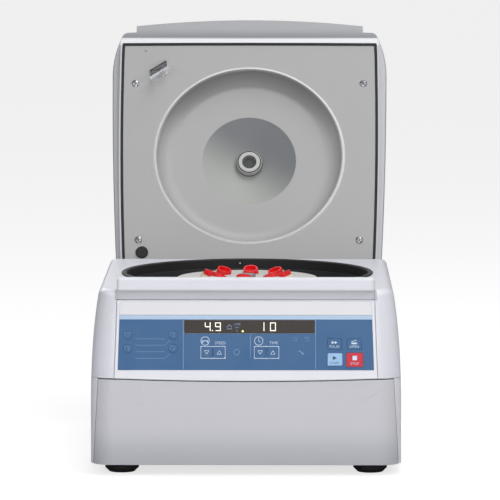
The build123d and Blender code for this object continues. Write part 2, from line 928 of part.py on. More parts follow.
def sample_tube():
    """One open tube with a round end."""
    near = cap_length - cap_grip
    far = tube_end() - tube_r
    outside = along_tube(tube_r, near, far) + tube_place(far) * Sphere(tube_r)
    inner = tube_r - tube_wall
    inside = along_tube(inner, near - 5, far) + tube_place(far) * Sphere(inner)
    return outside - inside


def tube_cap():
    """One push-on cap with a hollow top."""
    near, far = 0.0, cap_length - 0.1
    cap = along_tube(cap_r, near, far)
    cap -= along_tube(tube_r + fixed_clear, cap_length - cap_grip, far + 5)
    cap -= along_tube(cap_r - 2.2, -5, 4.5)
    for k in range(16):
        turn = Rot(0, 0, k * 22.5)
        flute = turn * Pos(cap_r + 0.35, 0, 0) * Cylinder(0.8, cap_length * 2)
        cap -= tube_place(cap_length / 2) * flute
    return cap


# ======================================================================== lid
def bend_middle(along, away):
    """Middle of an arc that sets out in one direction and turns away from it."""
    radius = (along**2 + away**2) / (2 * away)
    turn = atan2(along, radius - away) / 2
    return radius * sin(turn), radius * (1 - cos(turn))


def lid_outline(z, sizes, inset, corner_r):
    """One level of the lid; sizes are half-widths going forward, then the front and its bow."""
    rear_half, waist_half, shoulder_half, front_half, front, bow = sizes
    back = (rear_half - inset, lid_rim_rear_y - inset)
    waist = (waist_half - inset, lid_waist_y)
    shoulder = (shoulder_half - inset, lid_shoulder_y)
    tip = (front_half - inset, front + bow + inset)
    along, away = bend_middle(shoulder[1] - tip[1], shoulder[0] - tip[0])
    bend = (shoulder[0] - away, shoulder[1] - along)
    right = [ThreePointArc(back, waist, shoulder), ThreePointArc(shoulder, bend, tip)]
    left = [edge.mirror(Plane.YZ) for edge in right]
    rear = Line((-back[0], back[1]), back)
    nose = ThreePointArc(tip, (0, front + inset), (-tip[0], tip[1]))
    face = make_face([rear, *right, *left, nose])
    corners = [v for v in face.vertices() if abs(v.Y - shoulder[1]) > 1]
    return Pos(0, 0, z) * fillet(corners, corner_r)


def rim_outline(z, inset, front_rim=0.0):
    """The lid's lower edge, which follows the panel."""
    half = lid_rim_half
    front = lid_rim_front_y + front_rim
    sizes = (half - 6.1, half, half - 0.1, half - 0.8, front, 0.6)
    return lid_outline(z, sizes, inset, max(lid_rim_corner_r - inset, 1.0))


def belt_outline(z, inset, draw=0.0):
    """The lid's widest level, or a level of its crown drawn in from it."""
    half = lid_belt_half
    sizes = (half - 8.8, half, half + 1.5, half - 12.8, lid_belt_front_y, 4.0)
    return lid_outline(z, sizes, inset + draw, lid_belt_corner_r + draw)


def lid_rim(inset, low, high, front_rim=0.0):
    """The upright rim under the lid, or the space inside it."""
    return extrude(rim_outline(low, inset, front_rim), amount=high - low)


def lid_body(inset):
    """The lid above its rim, drawn in by a wall."""
    low, rise = lid_shelf_z + inset, lid_top_z - inset - lid_belt_z
    skirt = loft([belt_outline(low, inset, lid_skirt), belt_outline(lid_belt_z, inset)])
    levels = [(lid_belt_z + share * rise, draw) for share, draw in lid_crown]
    return skirt + loft([belt_outline(z, inset, draw) for z, draw in levels])


def lid_lip():
    """The finger grip along the front of the lid."""
    tip = lip_front_y + lip_bow
    back = lid_belt_front_y + 20
    edges = [
        Line((-lip_half, back), (-lip_half, tip)),
        ThreePointArc((-lip_half, tip), (0, lip_front_y), (lip_half, tip)),
        Line((lip_half, tip), (lip_half, back)),
        Line((lip_half, back), (-lip_half, back)),
    ]
    return Pos(0, 0, lid_shelf_z) * extrude(make_face(edges), amount=lip_thick)


def arm_slots():
    """Slots in the lid's rear wall for the hinge arms."""
    half = arm_thick / 2 + clear
    slots = None
    for side in (-1, 1):
        x = side * hinge_x
        slot = block(x - half, x + half, lid_rim_rear_y - 12, 240, 200, panel_z + 14)
        slots = slot if slots is None else slots + slot
    return slots


def screw_rods(radius, low, high):
    """An upright rod at each of the lid panel's screws."""
    rods = None
    for side in (-1, 1):
        for x, y in lid_screw_xy:
            one = rod(radius, low, high, side * x, y)
            rods = one if rods is None else rods + one
    return rods


def lid_shell():
    """The lid's outer shell with its rim, its grip and the bosses for the panel's screws."""
    whole = lid_body(0.0) + lid_rim(0.0, lid_rim_z, lid_shelf_z + 1) + lid_lip()
    roof, seat = lid_shelf_z + lid_wall + 1, panel_z + panel_thick + clear
    space = lid_body(lid_wall)
    space += lid_rim(lid_rim_wall, lid_rim_z - 1, roof, lid_front_rim)
    shell = whole - (space - screw_rods(lid_boss_r, seat, lid_top_z))
    shell -= screw_rods(lid_screw_shank_r + fixed_clear, seat - 1, seat + lid_screw_depth)
    port = rod(port_r + 5, lid_rim_z, lid_top_z + 5)
    return shell - port - arm_slots()


def panel_outline(extra):
    """The lid panel's outline, which follows the rim."""
    return rim_outline(panel_z, panel_inset - extra, lid_front_rim)


def dish():
    """The dish with its round bead, its curved wall and the cone to the port."""
    z0, thick = panel_z, panel_thick
    floor, cone = z0 + dish_depth, z0 + dish_depth + cone_depth
    lip, crest = bead_r - bead_width, bead_r - bead_width / 2
    along, away = bend_middle(lip - dish_floor_r, dish_depth)
    back_along, back_away = bend_middle(lip + thick - dish_floor_r, dish_depth)
    foot, back_foot = (dish_floor_r, floor), (dish_floor_r, floor + thick)
    rim, back_rim = (lip, z0), (lip + thick, z0 + thick)
    section = Line((port_r + 2, cone), (cone_r, floor)) + Line((cone_r, floor), foot)
    section += ThreePointArc(foot, (foot[0] + along, floor - away), rim)
    section += ThreePointArc(rim, (crest, z0 - bead_height), (bead_r, z0))
    section += Polyline((bead_r, z0), (bead_r, z0 + thick), back_rim)
    middle = (back_foot[0] + back_along, back_foot[1] - back_away)
    section += ThreePointArc(back_rim, middle, back_foot)
    section += Polyline(
        back_foot, (cone_r, floor + thick), (port_r + 2, cone + thick), (port_r + 2, cone)
    )
    return revolve(Plane.XZ * make_face(section), Axis.Z, 360)


def lid_panel():
    """The lid's inner panel with its dish."""
    plate = extrude(panel_outline(0.0), amount=panel_thick)
    plate -= rod(bead_r - 1.0, panel_z - 5, panel_z + 10)
    plate += dish()
    for side in (-1, 1):
        for x, y in lid_screw_xy:
            plate -= rod(lid_screw_shank_r + 0.1, 200, 260, side * x, y)
    plate -= rod(1.6, 200, panel_z + 1, *panel_hole_xy)
    return plate


def lid_gasket():
    """The black seal round the lid's panel."""
    frame = extrude(panel_outline(lid_gasket_width), amount=panel_thick)
    frame -= extrude(panel_outline(fixed_clear), amount=panel_thick * 3)
    bead = extrude(panel_outline(lid_gasket_width), amount=-1.2)
    bead -= Pos(0, 0, -2) * extrude(panel_outline(0.6), amount=8)
    return frame + bead


def port_ring():
    """The black ring of the sight port, from the dish to the lid's top."""
    low = panel_z + dish_depth + cone_depth - 8
    points = [
        (port_hole_r, low),
        (port_r, low),
        (port_r + 1.5, low + 2),
        (port_r + 1.5, lid_top_z - 3.4),
        (port_r + 4.7, lid_top_z - 3.4),
        (port_r + 4.7, lid_top_z - 0.6),
        (port_hole_r, lid_top_z - 0.6),
        (port_hole_r, low + 7),
        (port_hole_r + 2.5, low + 7),
        (port_hole_r + 2.5, low + 4),
        (port_hole_r, low + 4),
    ]
    return turned(points)


def port_window():
    """The clear window inside the sight port."""
    low = panel_z + dish_depth + cone_depth - 4 + clear
    return rod(port_hole_r + 2.5 - 0.1, low, low + 3 - 2 * clear)


def lid_screws():
    """Dome-head screws of the lid's panel."""
    solids = []
    for side in (-1, 1):
        for x, y in lid_screw_xy:
            dome = 1.6 * lid_screw_r
            head = Pos(side * x, y, panel_z - lid_screw_head + dome) * Sphere(dome)
            low = panel_z - lid_screw_head
            head = head & rod(lid_screw_r, low - 1, panel_z, side * x, y)
            head -= block(side * x - 0.6, side * x + 0.6, y - 3, y + 3, low - 1, low + 1.1)
            head -= block(side * x - 3, side * x + 3, y - 0.6, y + 0.6, low - 1, low + 1.1)
            shank = rod(lid_screw_shank_r, panel_z - 0.5, panel_z + 10, side * x, y)
            solids.append(head + shank)
    return group(solids)


def lid_bumper():
    """Rubber bumper that the closed lid rests on."""
    x, y = bumper_xy
    top = panel_z
    pad = rod(bumper_r, top - bumper_height, top, x, y)
    return chamfer(pad.edges().group_by(Axis.Z)[0], 0.8)


def lid_striker():
    """The steel hook that the lock's pawl catches."""
    high = panel_z
    plate = Pos(0, 0, (striker_bottom_z + high) / 2) * Box(
        striker_width, striker_thick, high - striker_bottom_z
    )
    hole = Pos(0, 0, pawl_z) * Box(pawl_width + 1.6, 20, pawl_height + 1.6)
    half = striker_width / 2
    low = high - striker_foot_thick
    foot = block(-half - 1.5, half + 1.5, -striker_foot, striker_thick / 2, low, high)
    head = rod(striker_screw_r, low - striker_screw_head, low, *striker_screw_xy)
    return striker_place() * (plate - hole + foot + head)


def hinge_arms():
    """Two arms that carry the lid on the hinge pins."""
    solids = []
    low, top = panel_z + panel_thick, panel_z + panel_thick + 7
    for side in (-1, 1):
        x = side * hinge_x
        x0, x1 = x - arm_thick / 2, x + arm_thick / 2
        eye = rod_x(arm_r, x0, x1, hinge_y, hinge_z)
        near = lid_rim_rear_y - lid_rim_wall
        post = block(x0, x1, near, hinge_y + arm_r - 2, hinge_z, top)
        foot = block(x0, x1, lid_rim_rear_y - 46, hinge_y, low, top)
        arm = eye + post + foot
        solids.append(arm - rod_x(hinge_pin_r + fixed_clear, x0 - 1, x1 + 1, hinge_y, hinge_z))
    return group(solids)


def hinge_pins():
    """Pins that turn with the lid."""
    reach = arm_thick / 2 + bracket_gap + bracket_thick
    solids = []
    for side in (-1, 1):
        x = side * hinge_x
        pin = rod_x(hinge_pin_r, x - reach - 1.2, x + reach + 1.2, hinge_y, hinge_z)
        for end in (-1, 1):
            start = x + end * (reach + clear)
            pin += rod_x(hinge_pin_r + 1.8, start, start + end * 1.6, hinge_y, hinge_z)
        solids.append(pin)
    return group(solids)


def hinge_brackets():
    """Forked brackets on the rear step."""
    inner = arm_thick / 2 + bracket_gap
    outer = inner + bracket_thick
    solids = []
    for side in (-1, 1):
        x = side * hinge_x
        y0, y1 = hinge_y - 10, hinge_y + 12
        bracket = block(x - outer, x + outer, y0, y1, step_z, step_z + 4)
        for end in (-1, 1):
            a, b = x + end * inner, x + end * outer
            bracket += block(a, b, y0, y1, step_z, hinge_z)
            bracket += rod_x(10, a, b, hinge_y, hinge_z)
        bore = hinge_pin_r + running_clear
        solids.append(bracket - rod_x(bore, x - outer - 1, x + outer + 1, hinge_y, hinge_z))
    return group(solids)


# ======================================================================== lock
def lock_body():
    """The lock's case under the deck."""
    low, high = pawl_z - 30, deck_z - wall
    half = lock_case_width / 2
    case = block(-half, half, -lock_case_inner, lock_case_outer, low, high)
    channel = Pos(0, 13, pawl_z) * Box(pawl_width + 0.6, 64, pawl_height + 0.6)
    return striker_place() * (case - channel) - striker_slot(striker_bottom_z - 4, high + 1)


def lock_pawl():
    """The bolt that slides through the striker's window."""
    near = striker_thick / 2 + lock_slot_clear + 0.5
    length = 26.0
    return striker_place() * (
        Pos(0, near + length / 2, pawl_z) * Box(pawl_width, length, pawl_height)
    )


# ======================================================================== rear fittings
def mains_inlet():
    """The appliance inlet with its three pins."""
    width, height = inlet_size
    flange = block(
        inlet_x - width / 2, inlet_x + width / 2, rear_y, rear_y + 2.5,
        inlet_z - height / 2, inlet_z + height / 2,
    )
    case = block(
        inlet_x - width / 2 + 4.4, inlet_x + width / 2 - 4.4, rear_y - 24, rear_y + 1,
        inlet_z - height / 2 + 4.4, inlet_z + height / 2 - 4.4,
    )
    body = flange + case
    across, tall = socket_size
    opening = block(
        inlet_x - across / 2, inlet_x + across / 2, rear_y + 2.5 - socket_depth, rear_y + 9,
        inlet_z - tall / 2, inlet_z + tall / 2,
    )
    body -= opening
    for dx, dz in ((-7, -2), (0, 3), (7, -2)):
        x, z = inlet_x + dx, inlet_z + dz
        body += block(x - 1, x + 1, rear_y - 16, rear_y - 1, z - 2, z + 2)
    return body


def switch_frame():
    """The frame of the power switch."""
    width, height = switch_size
    x0, x1 = switch_x - width / 2, switch_x + width / 2
    z0, z1 = inlet_z - height / 2, inlet_z + height / 2
    frame = block(x0, x1, rear_y, rear_y + 2, z0, z1)
    frame += block(x0 + 1.3, x1 - 1.3, rear_y - 18, rear_y + 1, z0 + 1.3, z1 - 1.3)
    frame -= block(x0 + 3, x1 - 3, rear_y - 12, rear_y + 9, z0 + 3, z1 - 3)
    pivot = rod_x(1.5, x0 + 2.6, x1 - 2.6, rear_y - 2, inlet_z)
    return frame + pivot


def power_rocker():
    """The rocker, tipped to OFF, with its pivot bore."""
    width, height = switch_size
    reach = width / 2 - 3.4
    tall = height / 2 - 4.2
    points = [
        (rear_y - 5.0, -tall + 1.5),
        (rear_y + 3.4, -tall + 0.4),
        (rear_y + 1.0, 0.0),
        (rear_y + 3.4, tall - 0.4),
        (rear_y - 5.0, tall - 1.5),
    ]
    start = switch_x - reach
    loop = [(start, y, inlet_z + z) for y, z in points]
    body = extrude(make_face(Polyline(*loop, close=True)), amount=2 * reach, dir=(1, 0, 0))
    bore = rod_x(1.5 + running_clear, start - 1, start + 2 * reach + 1, rear_y - 2, inlet_z)
    body -= bore
    axis = Axis((0, rear_y - 2, inlet_z), (1, 0, 0))
    return body.rotate(axis, -rocker_travel / 2)


def fan_frame():
    """The fan's square frame behind the rear panel."""
    half = fan_size / 2
    high = rear_y - wall - 0.1
    frame = block(fan_x - half, fan_x + half, high - fan_depth, high, fan_z - half, fan_z + half)
    frame = fillet(frame.edges().filter_by(Axis.Y), 5)
    frame -= rod_y(fan_hole_r, high - fan_depth - 1, high + 1, fan_x, fan_z)
    low = high - fan_depth
    frame += rod_y(9, low, low + 3, fan_x, fan_z)
    for k in range(3):
        bar = block(fan_x - 2, fan_x + 2, low, low + 3, fan_z + 7, fan_z + fan_hole_r + 1)
        frame += bar.rotate(Axis((fan_x, 0, fan_z), (0, 1, 0)), 120 * k)
    axle = rod_y(2.0, low, high - 5, fan_x, fan_z)
    return frame + axle


def fan_rotor():
    """The fan's hub and blades."""
    high = rear_y - wall - 0.1
    low = high - fan_depth
    hub = rod_y(12, low + 4, high - 2, fan_x, fan_z)
    for k in range(fan_blades):
        blade = Pos(fan_x, (low + high) / 2 + 1, fan_z + 20.5) * Rot(0, 0, 38) * Box(1.6, 13, 19)
        hub += blade.rotate(Axis((fan_x, 0, fan_z), (0, 1, 0)), 360 / fan_blades * k)
    bore = rod_y(2.0 + running_clear, low, high - 4, fan_x, fan_z)
    return hub - bore


def fan_guard():
    """Finger guard over the fan's opening."""
    y0, y1 = rear_y, rear_y + 2.0
    guard = None
    for radius in (8.0, 16.0, 24.0, fan_hole_r + 1.5):
        ring = rod_y(radius + 1, y0, y1, fan_x, fan_z)
        ring -= rod_y(radius - 1, y0 - 1, y1 + 1, fan_x, fan_z)
        guard = ring if guard is None else guard + ring
    for k in range(2):
        reach = fan_hole_r + 2
        bar = block(fan_x - reach, fan_x + reach, y0, y1, fan_z - 1, fan_z + 1)
        guard += bar.rotate(Axis((fan_x, 0, fan_z), (0, 1, 0)), 45 + 90 * k)
    return guard


def power_board():
    """The motor's drive board on the pan, with its heat sink and capacitors."""
    floor = housing_bottom + pan_thick
    board = block(92, 168, -96, 60, floor + 6, floor + 7.6)
    for x in (97, 163):
        for y in (-90, 54):
            board += rod(3.5, floor, floor + 6, x, y)
    for y in (-70, -40):
        board += rod(12, floor + 7.6, floor + 42, 140, y)
    for k in range(6):
        board += block(104, 160, 4 + 8 * k, 6 + 8 * k, floor + 7.6, floor + 38)
    return board


def power_filter():
    """The mains filter's steel can on the pan."""
    floor = housing_bottom + pan_thick
    can = block(-165, -100, -60, 30, floor, floor + 40)
    return fillet(can.edges().filter_by(Axis.Z), 3)


# ======================================================================== putting together
def swing_open(shape):
    """Swing a closed lid's piece to the open rest position."""
    return shape.rotate(Axis((0, hinge_y, hinge_z), (1, 0, 0)), -lid_open)


def fixed_nodes():
    """Everything that stays with the housing."""
    outer, inner = outer_block(), inner_block()
    shell = outer - inner
    return {
        "base_pan": base_pan(),
        "rubber_feet": feet(),
        "upper_housing": upper_housing(outer, inner),
        "lower_front_cover": lower_front_cover(shell),
        "left_side_cover": side_cover(shell, -1),
        "right_side_cover": side_cover(shell, 1),
        "rear_panel": rear_panel(shell),
        "casing_screws": group(foot_screws() + rear_screws()),
        "front_bezel": front_bezel(),
        "keypad_label": keypad_label(),
        "display_window": display_window(),
        "control_boards": group([display_board(), control_board()]),
        "chamber_bowl": chamber_bowl(),
        "chamber_gasket": chamber_gasket(),
        "guard_ring": guard_ring(),
        "chamber_posts": chamber_posts(),
        "motor_dampers": motor_dampers(),
        "motor_plate": motor_plate(),
        "motor_housing": motor_housing(),
        "motor_stator": group([motor_stator()] + motor_windings()),
        "motor_bearings": motor_bearings(),
        "motor_boot": motor_boot(),
        "hinge_brackets": hinge_brackets(),
        "lock_body": lock_body(),
        "mains_inlet": mains_inlet(),
        "switch_frame": switch_frame(),
        "fan_frame": group([fan_frame(), fan_guard()]),
        "power_boards": group([power_board(), power_filter()]),
    }


def turning_nodes():
    """Everything that turns with the shaft."""
    return {
        "motor_shaft": motor_shaft(),
        "motor_armature": motor_armature(),
        "drive_cone": drive_cone(),
        "tube_rotor": tube_rotor(),
        "rotor_nut": rotor_nut(),
        "sample_tubes": group(around(sample_tube(), tube_count, tube_phase)),
        "tube_caps": group(around(tube_cap(), tube_count, tube_phase)),
    }


def lid_nodes():
    """Everything that swings with the lid."""
    closed = {
        "lid_shell": lid_shell(),
        "lid_panel": lid_panel(),
        "lid_gasket": lid_gasket(),
        "port_ring": port_ring(),
        "port_window": port_window(),
        "lid_screws": lid_screws(),
        "lid_bumper": lid_bumper(),
        "lid_striker": lid_striker(),
        "hinge_arms": hinge_arms(),
        "hinge_pins": hinge_pins(),
    }
    return {name: swing_open(shape) for name, shape in closed.items()}


def small_moving_nodes():
    """Keys, rocker, fan wheel and the lock's bolt."""
    outer, inner = label_levels()
    high, low = outer + key_proud, inner - key_depth + key_travel + key_rest
    nodes = {
        name: key_solid(x, z, width, height, high, low)
        for name, x, z, width, height in all_keys()
    }
    nodes["power_rocker"] = power_rocker()
    nodes["fan_rotor"] = fan_rotor()
    nodes["lock_pawl"] = lock_pawl()
    return nodes


def main():
    """Build every node, centre the machine on the origin and write the files."""
    nodes = fixed_nodes() | turning_nodes() | lid_nodes() | small_moving_nodes()
    boxes = [shape.bounding_box() for shape in nodes.values()]
    low = min(box.min.Y for box in boxes)
    high = max(box.max.Y for box in boxes)
    shift = round(-(low + high) / 2)
    print("rotor axis at y", shift, "with", len(nodes), "nodes")
    for name, shape in nodes.items():
        export_step(Pos(0, shift, 0) * shape, f"parts/{name}.step")


main()
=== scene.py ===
"""Looks of a bench-top laboratory centrifuge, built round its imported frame.

Every length is in metres, in the frame's own axes: +X to the operator's right, -Y towards
the operator and +Z up, with the bench at z = 0.
"""

import json
import logging
import math
from dataclasses import dataclass, field
from enum import Enum
from typing import Iterable

import bmesh
import bpy
from mathutils import Matrix, Vector

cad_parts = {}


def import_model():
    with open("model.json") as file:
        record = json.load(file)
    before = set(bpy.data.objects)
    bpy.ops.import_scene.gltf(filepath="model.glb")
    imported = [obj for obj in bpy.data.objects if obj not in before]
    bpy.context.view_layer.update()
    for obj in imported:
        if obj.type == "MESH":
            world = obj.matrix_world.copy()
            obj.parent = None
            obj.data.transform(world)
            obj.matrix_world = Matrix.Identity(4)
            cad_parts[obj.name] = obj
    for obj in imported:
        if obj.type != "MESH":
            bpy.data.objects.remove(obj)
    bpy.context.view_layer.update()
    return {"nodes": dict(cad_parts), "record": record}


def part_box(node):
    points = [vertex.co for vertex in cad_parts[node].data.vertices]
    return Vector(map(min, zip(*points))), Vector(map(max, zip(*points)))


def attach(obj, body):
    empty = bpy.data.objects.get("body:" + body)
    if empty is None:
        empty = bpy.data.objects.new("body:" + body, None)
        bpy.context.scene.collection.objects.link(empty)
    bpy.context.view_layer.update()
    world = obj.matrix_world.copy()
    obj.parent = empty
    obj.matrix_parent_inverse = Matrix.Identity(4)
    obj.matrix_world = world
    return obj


LOG = logging.getLogger("centrifuge")
MM = 0.001
Colour = tuple[float, float, float]
Point = tuple[float, float, float]
Socket = bpy.types.NodeSocket
Tree = bpy.types.NodeTree
Material = bpy.types.Material
Mesh = bmesh.types.BMesh


# ============================================================================ colours
def srgb(*channels: int) -> Colour:
    """A display colour as linear light.

    Args:
        channels: its red, green and blue, from 0 to 255.

    Returns:
        The linear colour.
    """
    shares = (channel / 255 for channel in channels)
    return tuple(share / 12.92 if share <= 0.04045 else ((share + 0.055) / 1.055) ** 2.4
                 for share in shares)


class Slot(Enum):
    """The record's material slots."""

    WHITE = "white_moulding"
    WHITE_STEEL = "white_steel"
    PANEL = "panel_grey"
    RUBBER = "black_rubber"
    KEYPAD = "keypad_blue"
    START = "key_light_blue"
    STOP = "key_red"
    WINDOW = "window_tint"
    BOARD = "circuit_board"
    CHAMBER = "chamber_black"
    SHEET_STEEL = "pan_steel"
    ZINC = "zinc_steel"
    BRIGHT = "bright_steel"
    CAST = "motor_metal"
    COPPER = "motor_copper"
    ROTOR = "rotor_grey"
    TUBE = "tube_clear"
    CAP = "cap_red"
    BLACK = "black_plastic"
    GLASS = "port_glass"


# ============================================================================ shader tools
class Graph:
    """A node tree with short calls to add and link nodes."""

    def __init__(self, tree: Tree) -> None:
        """Keep the material's or group's node tree."""
        self.tree = tree

    def add(self, kind: str, **values: object) -> bpy.types.Node:
        """Add a node and set its properties.

        Args:
            kind: the node's type name without its ShaderNode prefix.
            values: properties of the node.

        Returns:
            The node.
        """
        node = self.tree.nodes.new("ShaderNode" + kind)
        for name, value in values.items():
            setattr(node, name, value)
        return node

    def join(self, socket: Socket, value: object) -> None:
        """Link an input to another socket, or set its plain value.

        Args:
            socket: the input.
            value: a socket or a plain value.
        """
        if isinstance(value, Socket):
            self.tree.links.new(value, socket)
        else:
            socket.default_value = value

    def feed(self, node: bpy.types.Node, **inputs: object) -> bpy.types.Node:
        """Set or link inputs by name, with underscores for spaces.

        Args:
            node: the node to feed.
            inputs: sockets to link or plain values to set.

        Returns:
            The same node.
        """
        for name, value in inputs.items():
            self.join(node.inputs[name.replace("_", " ")], value)
        return node

    def math(self, operation: str, *values: object, kind: str = "Math") -> Socket:
        """A Math node.

        Args:
            operation: the node's operation.
            values: sockets or plain values, in the node's order.
            kind: the node's type name, Math or VectorMath.

        Returns:
            The result's socket, a number but for a vector's sum or difference.
        """
        node = self.add(kind, operation=operation)
        for socket, value in zip(node.inputs, values):
            self.join(socket, value)
        single = kind == "Math" or operation in ("DOT_PRODUCT", "LENGTH")
        return node.outputs["Value" if single else "Vector"]

    def product(self, *shares: object) -> Socket:
        """Several shares multiplied together.

        Args:
            shares: sockets or numbers.

        Returns:
            The product's socket.
        """
        total = shares[0]
        for share in shares[1:]:
            total = self.math("MULTIPLY", total, share)
        return total

    def vector(self, operation: str, *values: object) -> Socket:
        """The result of a Vector Math node: a number for a dot product or a length."""
        return self.math(operation, *values, kind="VectorMath")

    def noise(self, place: object, scale: object, **values: float) -> Socket:
        """The output of a Noise Texture with this position, scale and other numbers."""
        node = self.feed(self.add("TexNoise"), Vector=place, Scale=scale, **values)
        return node.outputs["Fac"]

    def axes(self, place: Socket) -> bpy.types.NodeOutputs:
        """A position's or a direction's sockets, by the names X, Y and Z."""
        return self.feed(self.add("SeparateXYZ"), Vector=place).outputs

    def mix(self, share: object, low: object, high: object) -> Socket:
        """Blend two colours.

        Args:
            share: how much of the second colour shows.
            low, high: colours or sockets.

        Returns:
            The blended colour's socket.
        """
        node = self.add("Mix", data_type="RGBA")
        self.join(node.inputs[0], share)
        for index, value in ((6, low), (7, high)):
            plain = not isinstance(value, Socket)
            self.join(node.inputs[index], (*value, 1.0) if plain else value)
        return node.outputs[2]

    def ramp(self, value: Socket, low: float, high: float) -> Socket:
        """A share that rises smoothly from 0 at the low value to 1 at the high one.

        Args:
            value: the socket to remap.
            low, high: its limits.

        Returns:
            The share's socket.
        """
        node = self.add("MapRange", interpolation_type="SMOOTHSTEP")
        self.feed(node, Value=value, From_Min=low, From_Max=high)
        return node.outputs[0]


def new_group(name: str, inputs: dict[str, float], outputs: dict[str, str],
              ) -> tuple[Graph, bpy.types.Node, bpy.types.Node]:
    """Start a shader node group that takes a position and some numbers.

    Args:
        name: the group's name.
        inputs: number inputs and their usual values.
        outputs: output names and their socket kinds.

    Returns:
        The group's graph, its input node and its output node.
    """
    tree = bpy.data.node_groups.new(name, "ShaderNodeTree")
    tree.interface.new_socket("Position", in_out="INPUT", socket_type="NodeSocketVector")
    for label, value in inputs.items():
        made = tree.interface.new_socket(label, in_out="INPUT", socket_type="NodeSocketFloat")
        made.default_value = value
    for label, kind in outputs.items():
        tree.interface.new_socket(label, in_out="OUTPUT", socket_type="NodeSocket" + kind)
    given, out = (tree.nodes.new(kind) for kind in ("NodeGroupInput", "NodeGroupOutput"))
    return Graph(tree), given, out


class Effects:
    """Shader node groups shared by the finishes, each built once."""

    def __init__(self) -> None:
        """Build every group."""
        self.grain = self._grain()
        self.smudge = self._smudge()
        self.edges = self._edges()
        self.dust = self._dust()
        self.brushed = self._brushed()

    @staticmethod
    def _grain() -> Tree:
        """Fine moulded or painted grain: a height and a mask.

        Returns:
            The group.
        """
        graph, given, out = new_group("fine_grain", {"Size": 0.001, "Depth": 0.5},
                                      {"Height": "Float", "Mask": "Float"})
        place, cell_share = given.outputs["Position"], 0.6
        scale = graph.math("DIVIDE", 1.0, given.outputs["Size"])
        cells = graph.add("TexVoronoi", feature="SMOOTH_F1")
        graph.feed(cells, Vector=place, Scale=scale)
        fine = graph.noise(place, scale, Detail=3.0)
        both = graph.math("MULTIPLY_ADD", cells.outputs["Distance"], cell_share, fine)
        graph.feed(out, Height=graph.product(both, given.outputs["Depth"]),
                   Mask=graph.ramp(fine, 0.35, 0.65))
        return graph.tree

    @staticmethod
    def _smudge() -> Tree:
        """Broad handling marks that change gloss and tone.

        Returns:
            The group.
        """
        graph, given, out = new_group("handling_smudge", {"Size": 0.06, "Amount": 0.1},
                                      {"Roughness": "Float", "Mask": "Float"})
        scale = graph.math("DIVIDE", 1.0, given.outputs["Size"])
        broad = graph.noise(given.outputs["Position"], scale, Detail=5.0, Roughness=0.62,
                            Distortion=0.6)
        mask = graph.ramp(broad, 0.42, 0.68)
        graph.feed(out, Roughness=graph.product(mask, given.outputs["Amount"]), Mask=mask)
        return graph.tree

    @staticmethod
    def _edges() -> Tree:
        """Softened edges: a rounded normal and a mask of where edges are.

        Returns:
            The group.
        """
        graph, given, out = new_group("soft_edge", {"Radius": 0.0006, "Wear": 0.5},
                                      {"Normal": "Vector", "Mask": "Float"})
        bevel = graph.add("Bevel", samples=6)
        graph.feed(bevel, Radius=given.outputs["Radius"])
        facing = graph.add("NewGeometry").outputs["Normal"]
        agreed = graph.vector("DOT_PRODUCT", bevel.outputs[0], facing)
        found = graph.ramp(agreed, 0.995, 0.86)
        broken = graph.noise(given.outputs["Position"], 180.0, Detail=4.0)
        patchy = graph.ramp(broken, 0.38, 0.62)
        graph.feed(out, Normal=bevel.outputs[0],
                   Mask=graph.product(found, patchy, given.outputs["Wear"]))
        return graph.tree

    @staticmethod
    def _dust() -> Tree:
        """Thin dust that settles where a surface faces up.

        Returns:
            The group.
        """
        graph, given, out = new_group("settled_dust", {"Amount": 0.2}, {"Mask": "Float"})
        up = graph.ramp(graph.axes(graph.add("NewGeometry").outputs["Normal"])["Z"], 0.4, 1.0)
        cloud = graph.noise(given.outputs["Position"], 60.0, Detail=8.0, Roughness=0.7)
        patchy = graph.ramp(cloud, 0.35, 0.75)
        graph.feed(out, Mask=graph.product(up, patchy, given.outputs["Amount"]))
        return graph.tree

    @staticmethod
    def _brushed() -> Tree:
        """Turning or brushing lines along one axis.

        Returns:
            The group.
        """
        graph, given, out = new_group("brush_lines", {"Size": 0.0006},
                                      {"Height": "Float", "Mask": "Float"})
        stretch = graph.add("Mapping")
        graph.feed(stretch, Vector=given.outputs["Position"], Scale=(0.03, 1.0, 1.0))
        scale = graph.math("DIVIDE", 1.0, given.outputs["Size"])
        lines = graph.noise(stretch.outputs[0], scale, Detail=3.0, Roughness=0.6)
        graph.feed(out, Height=lines, Mask=graph.ramp(lines, 0.3, 0.7))
        return graph.tree


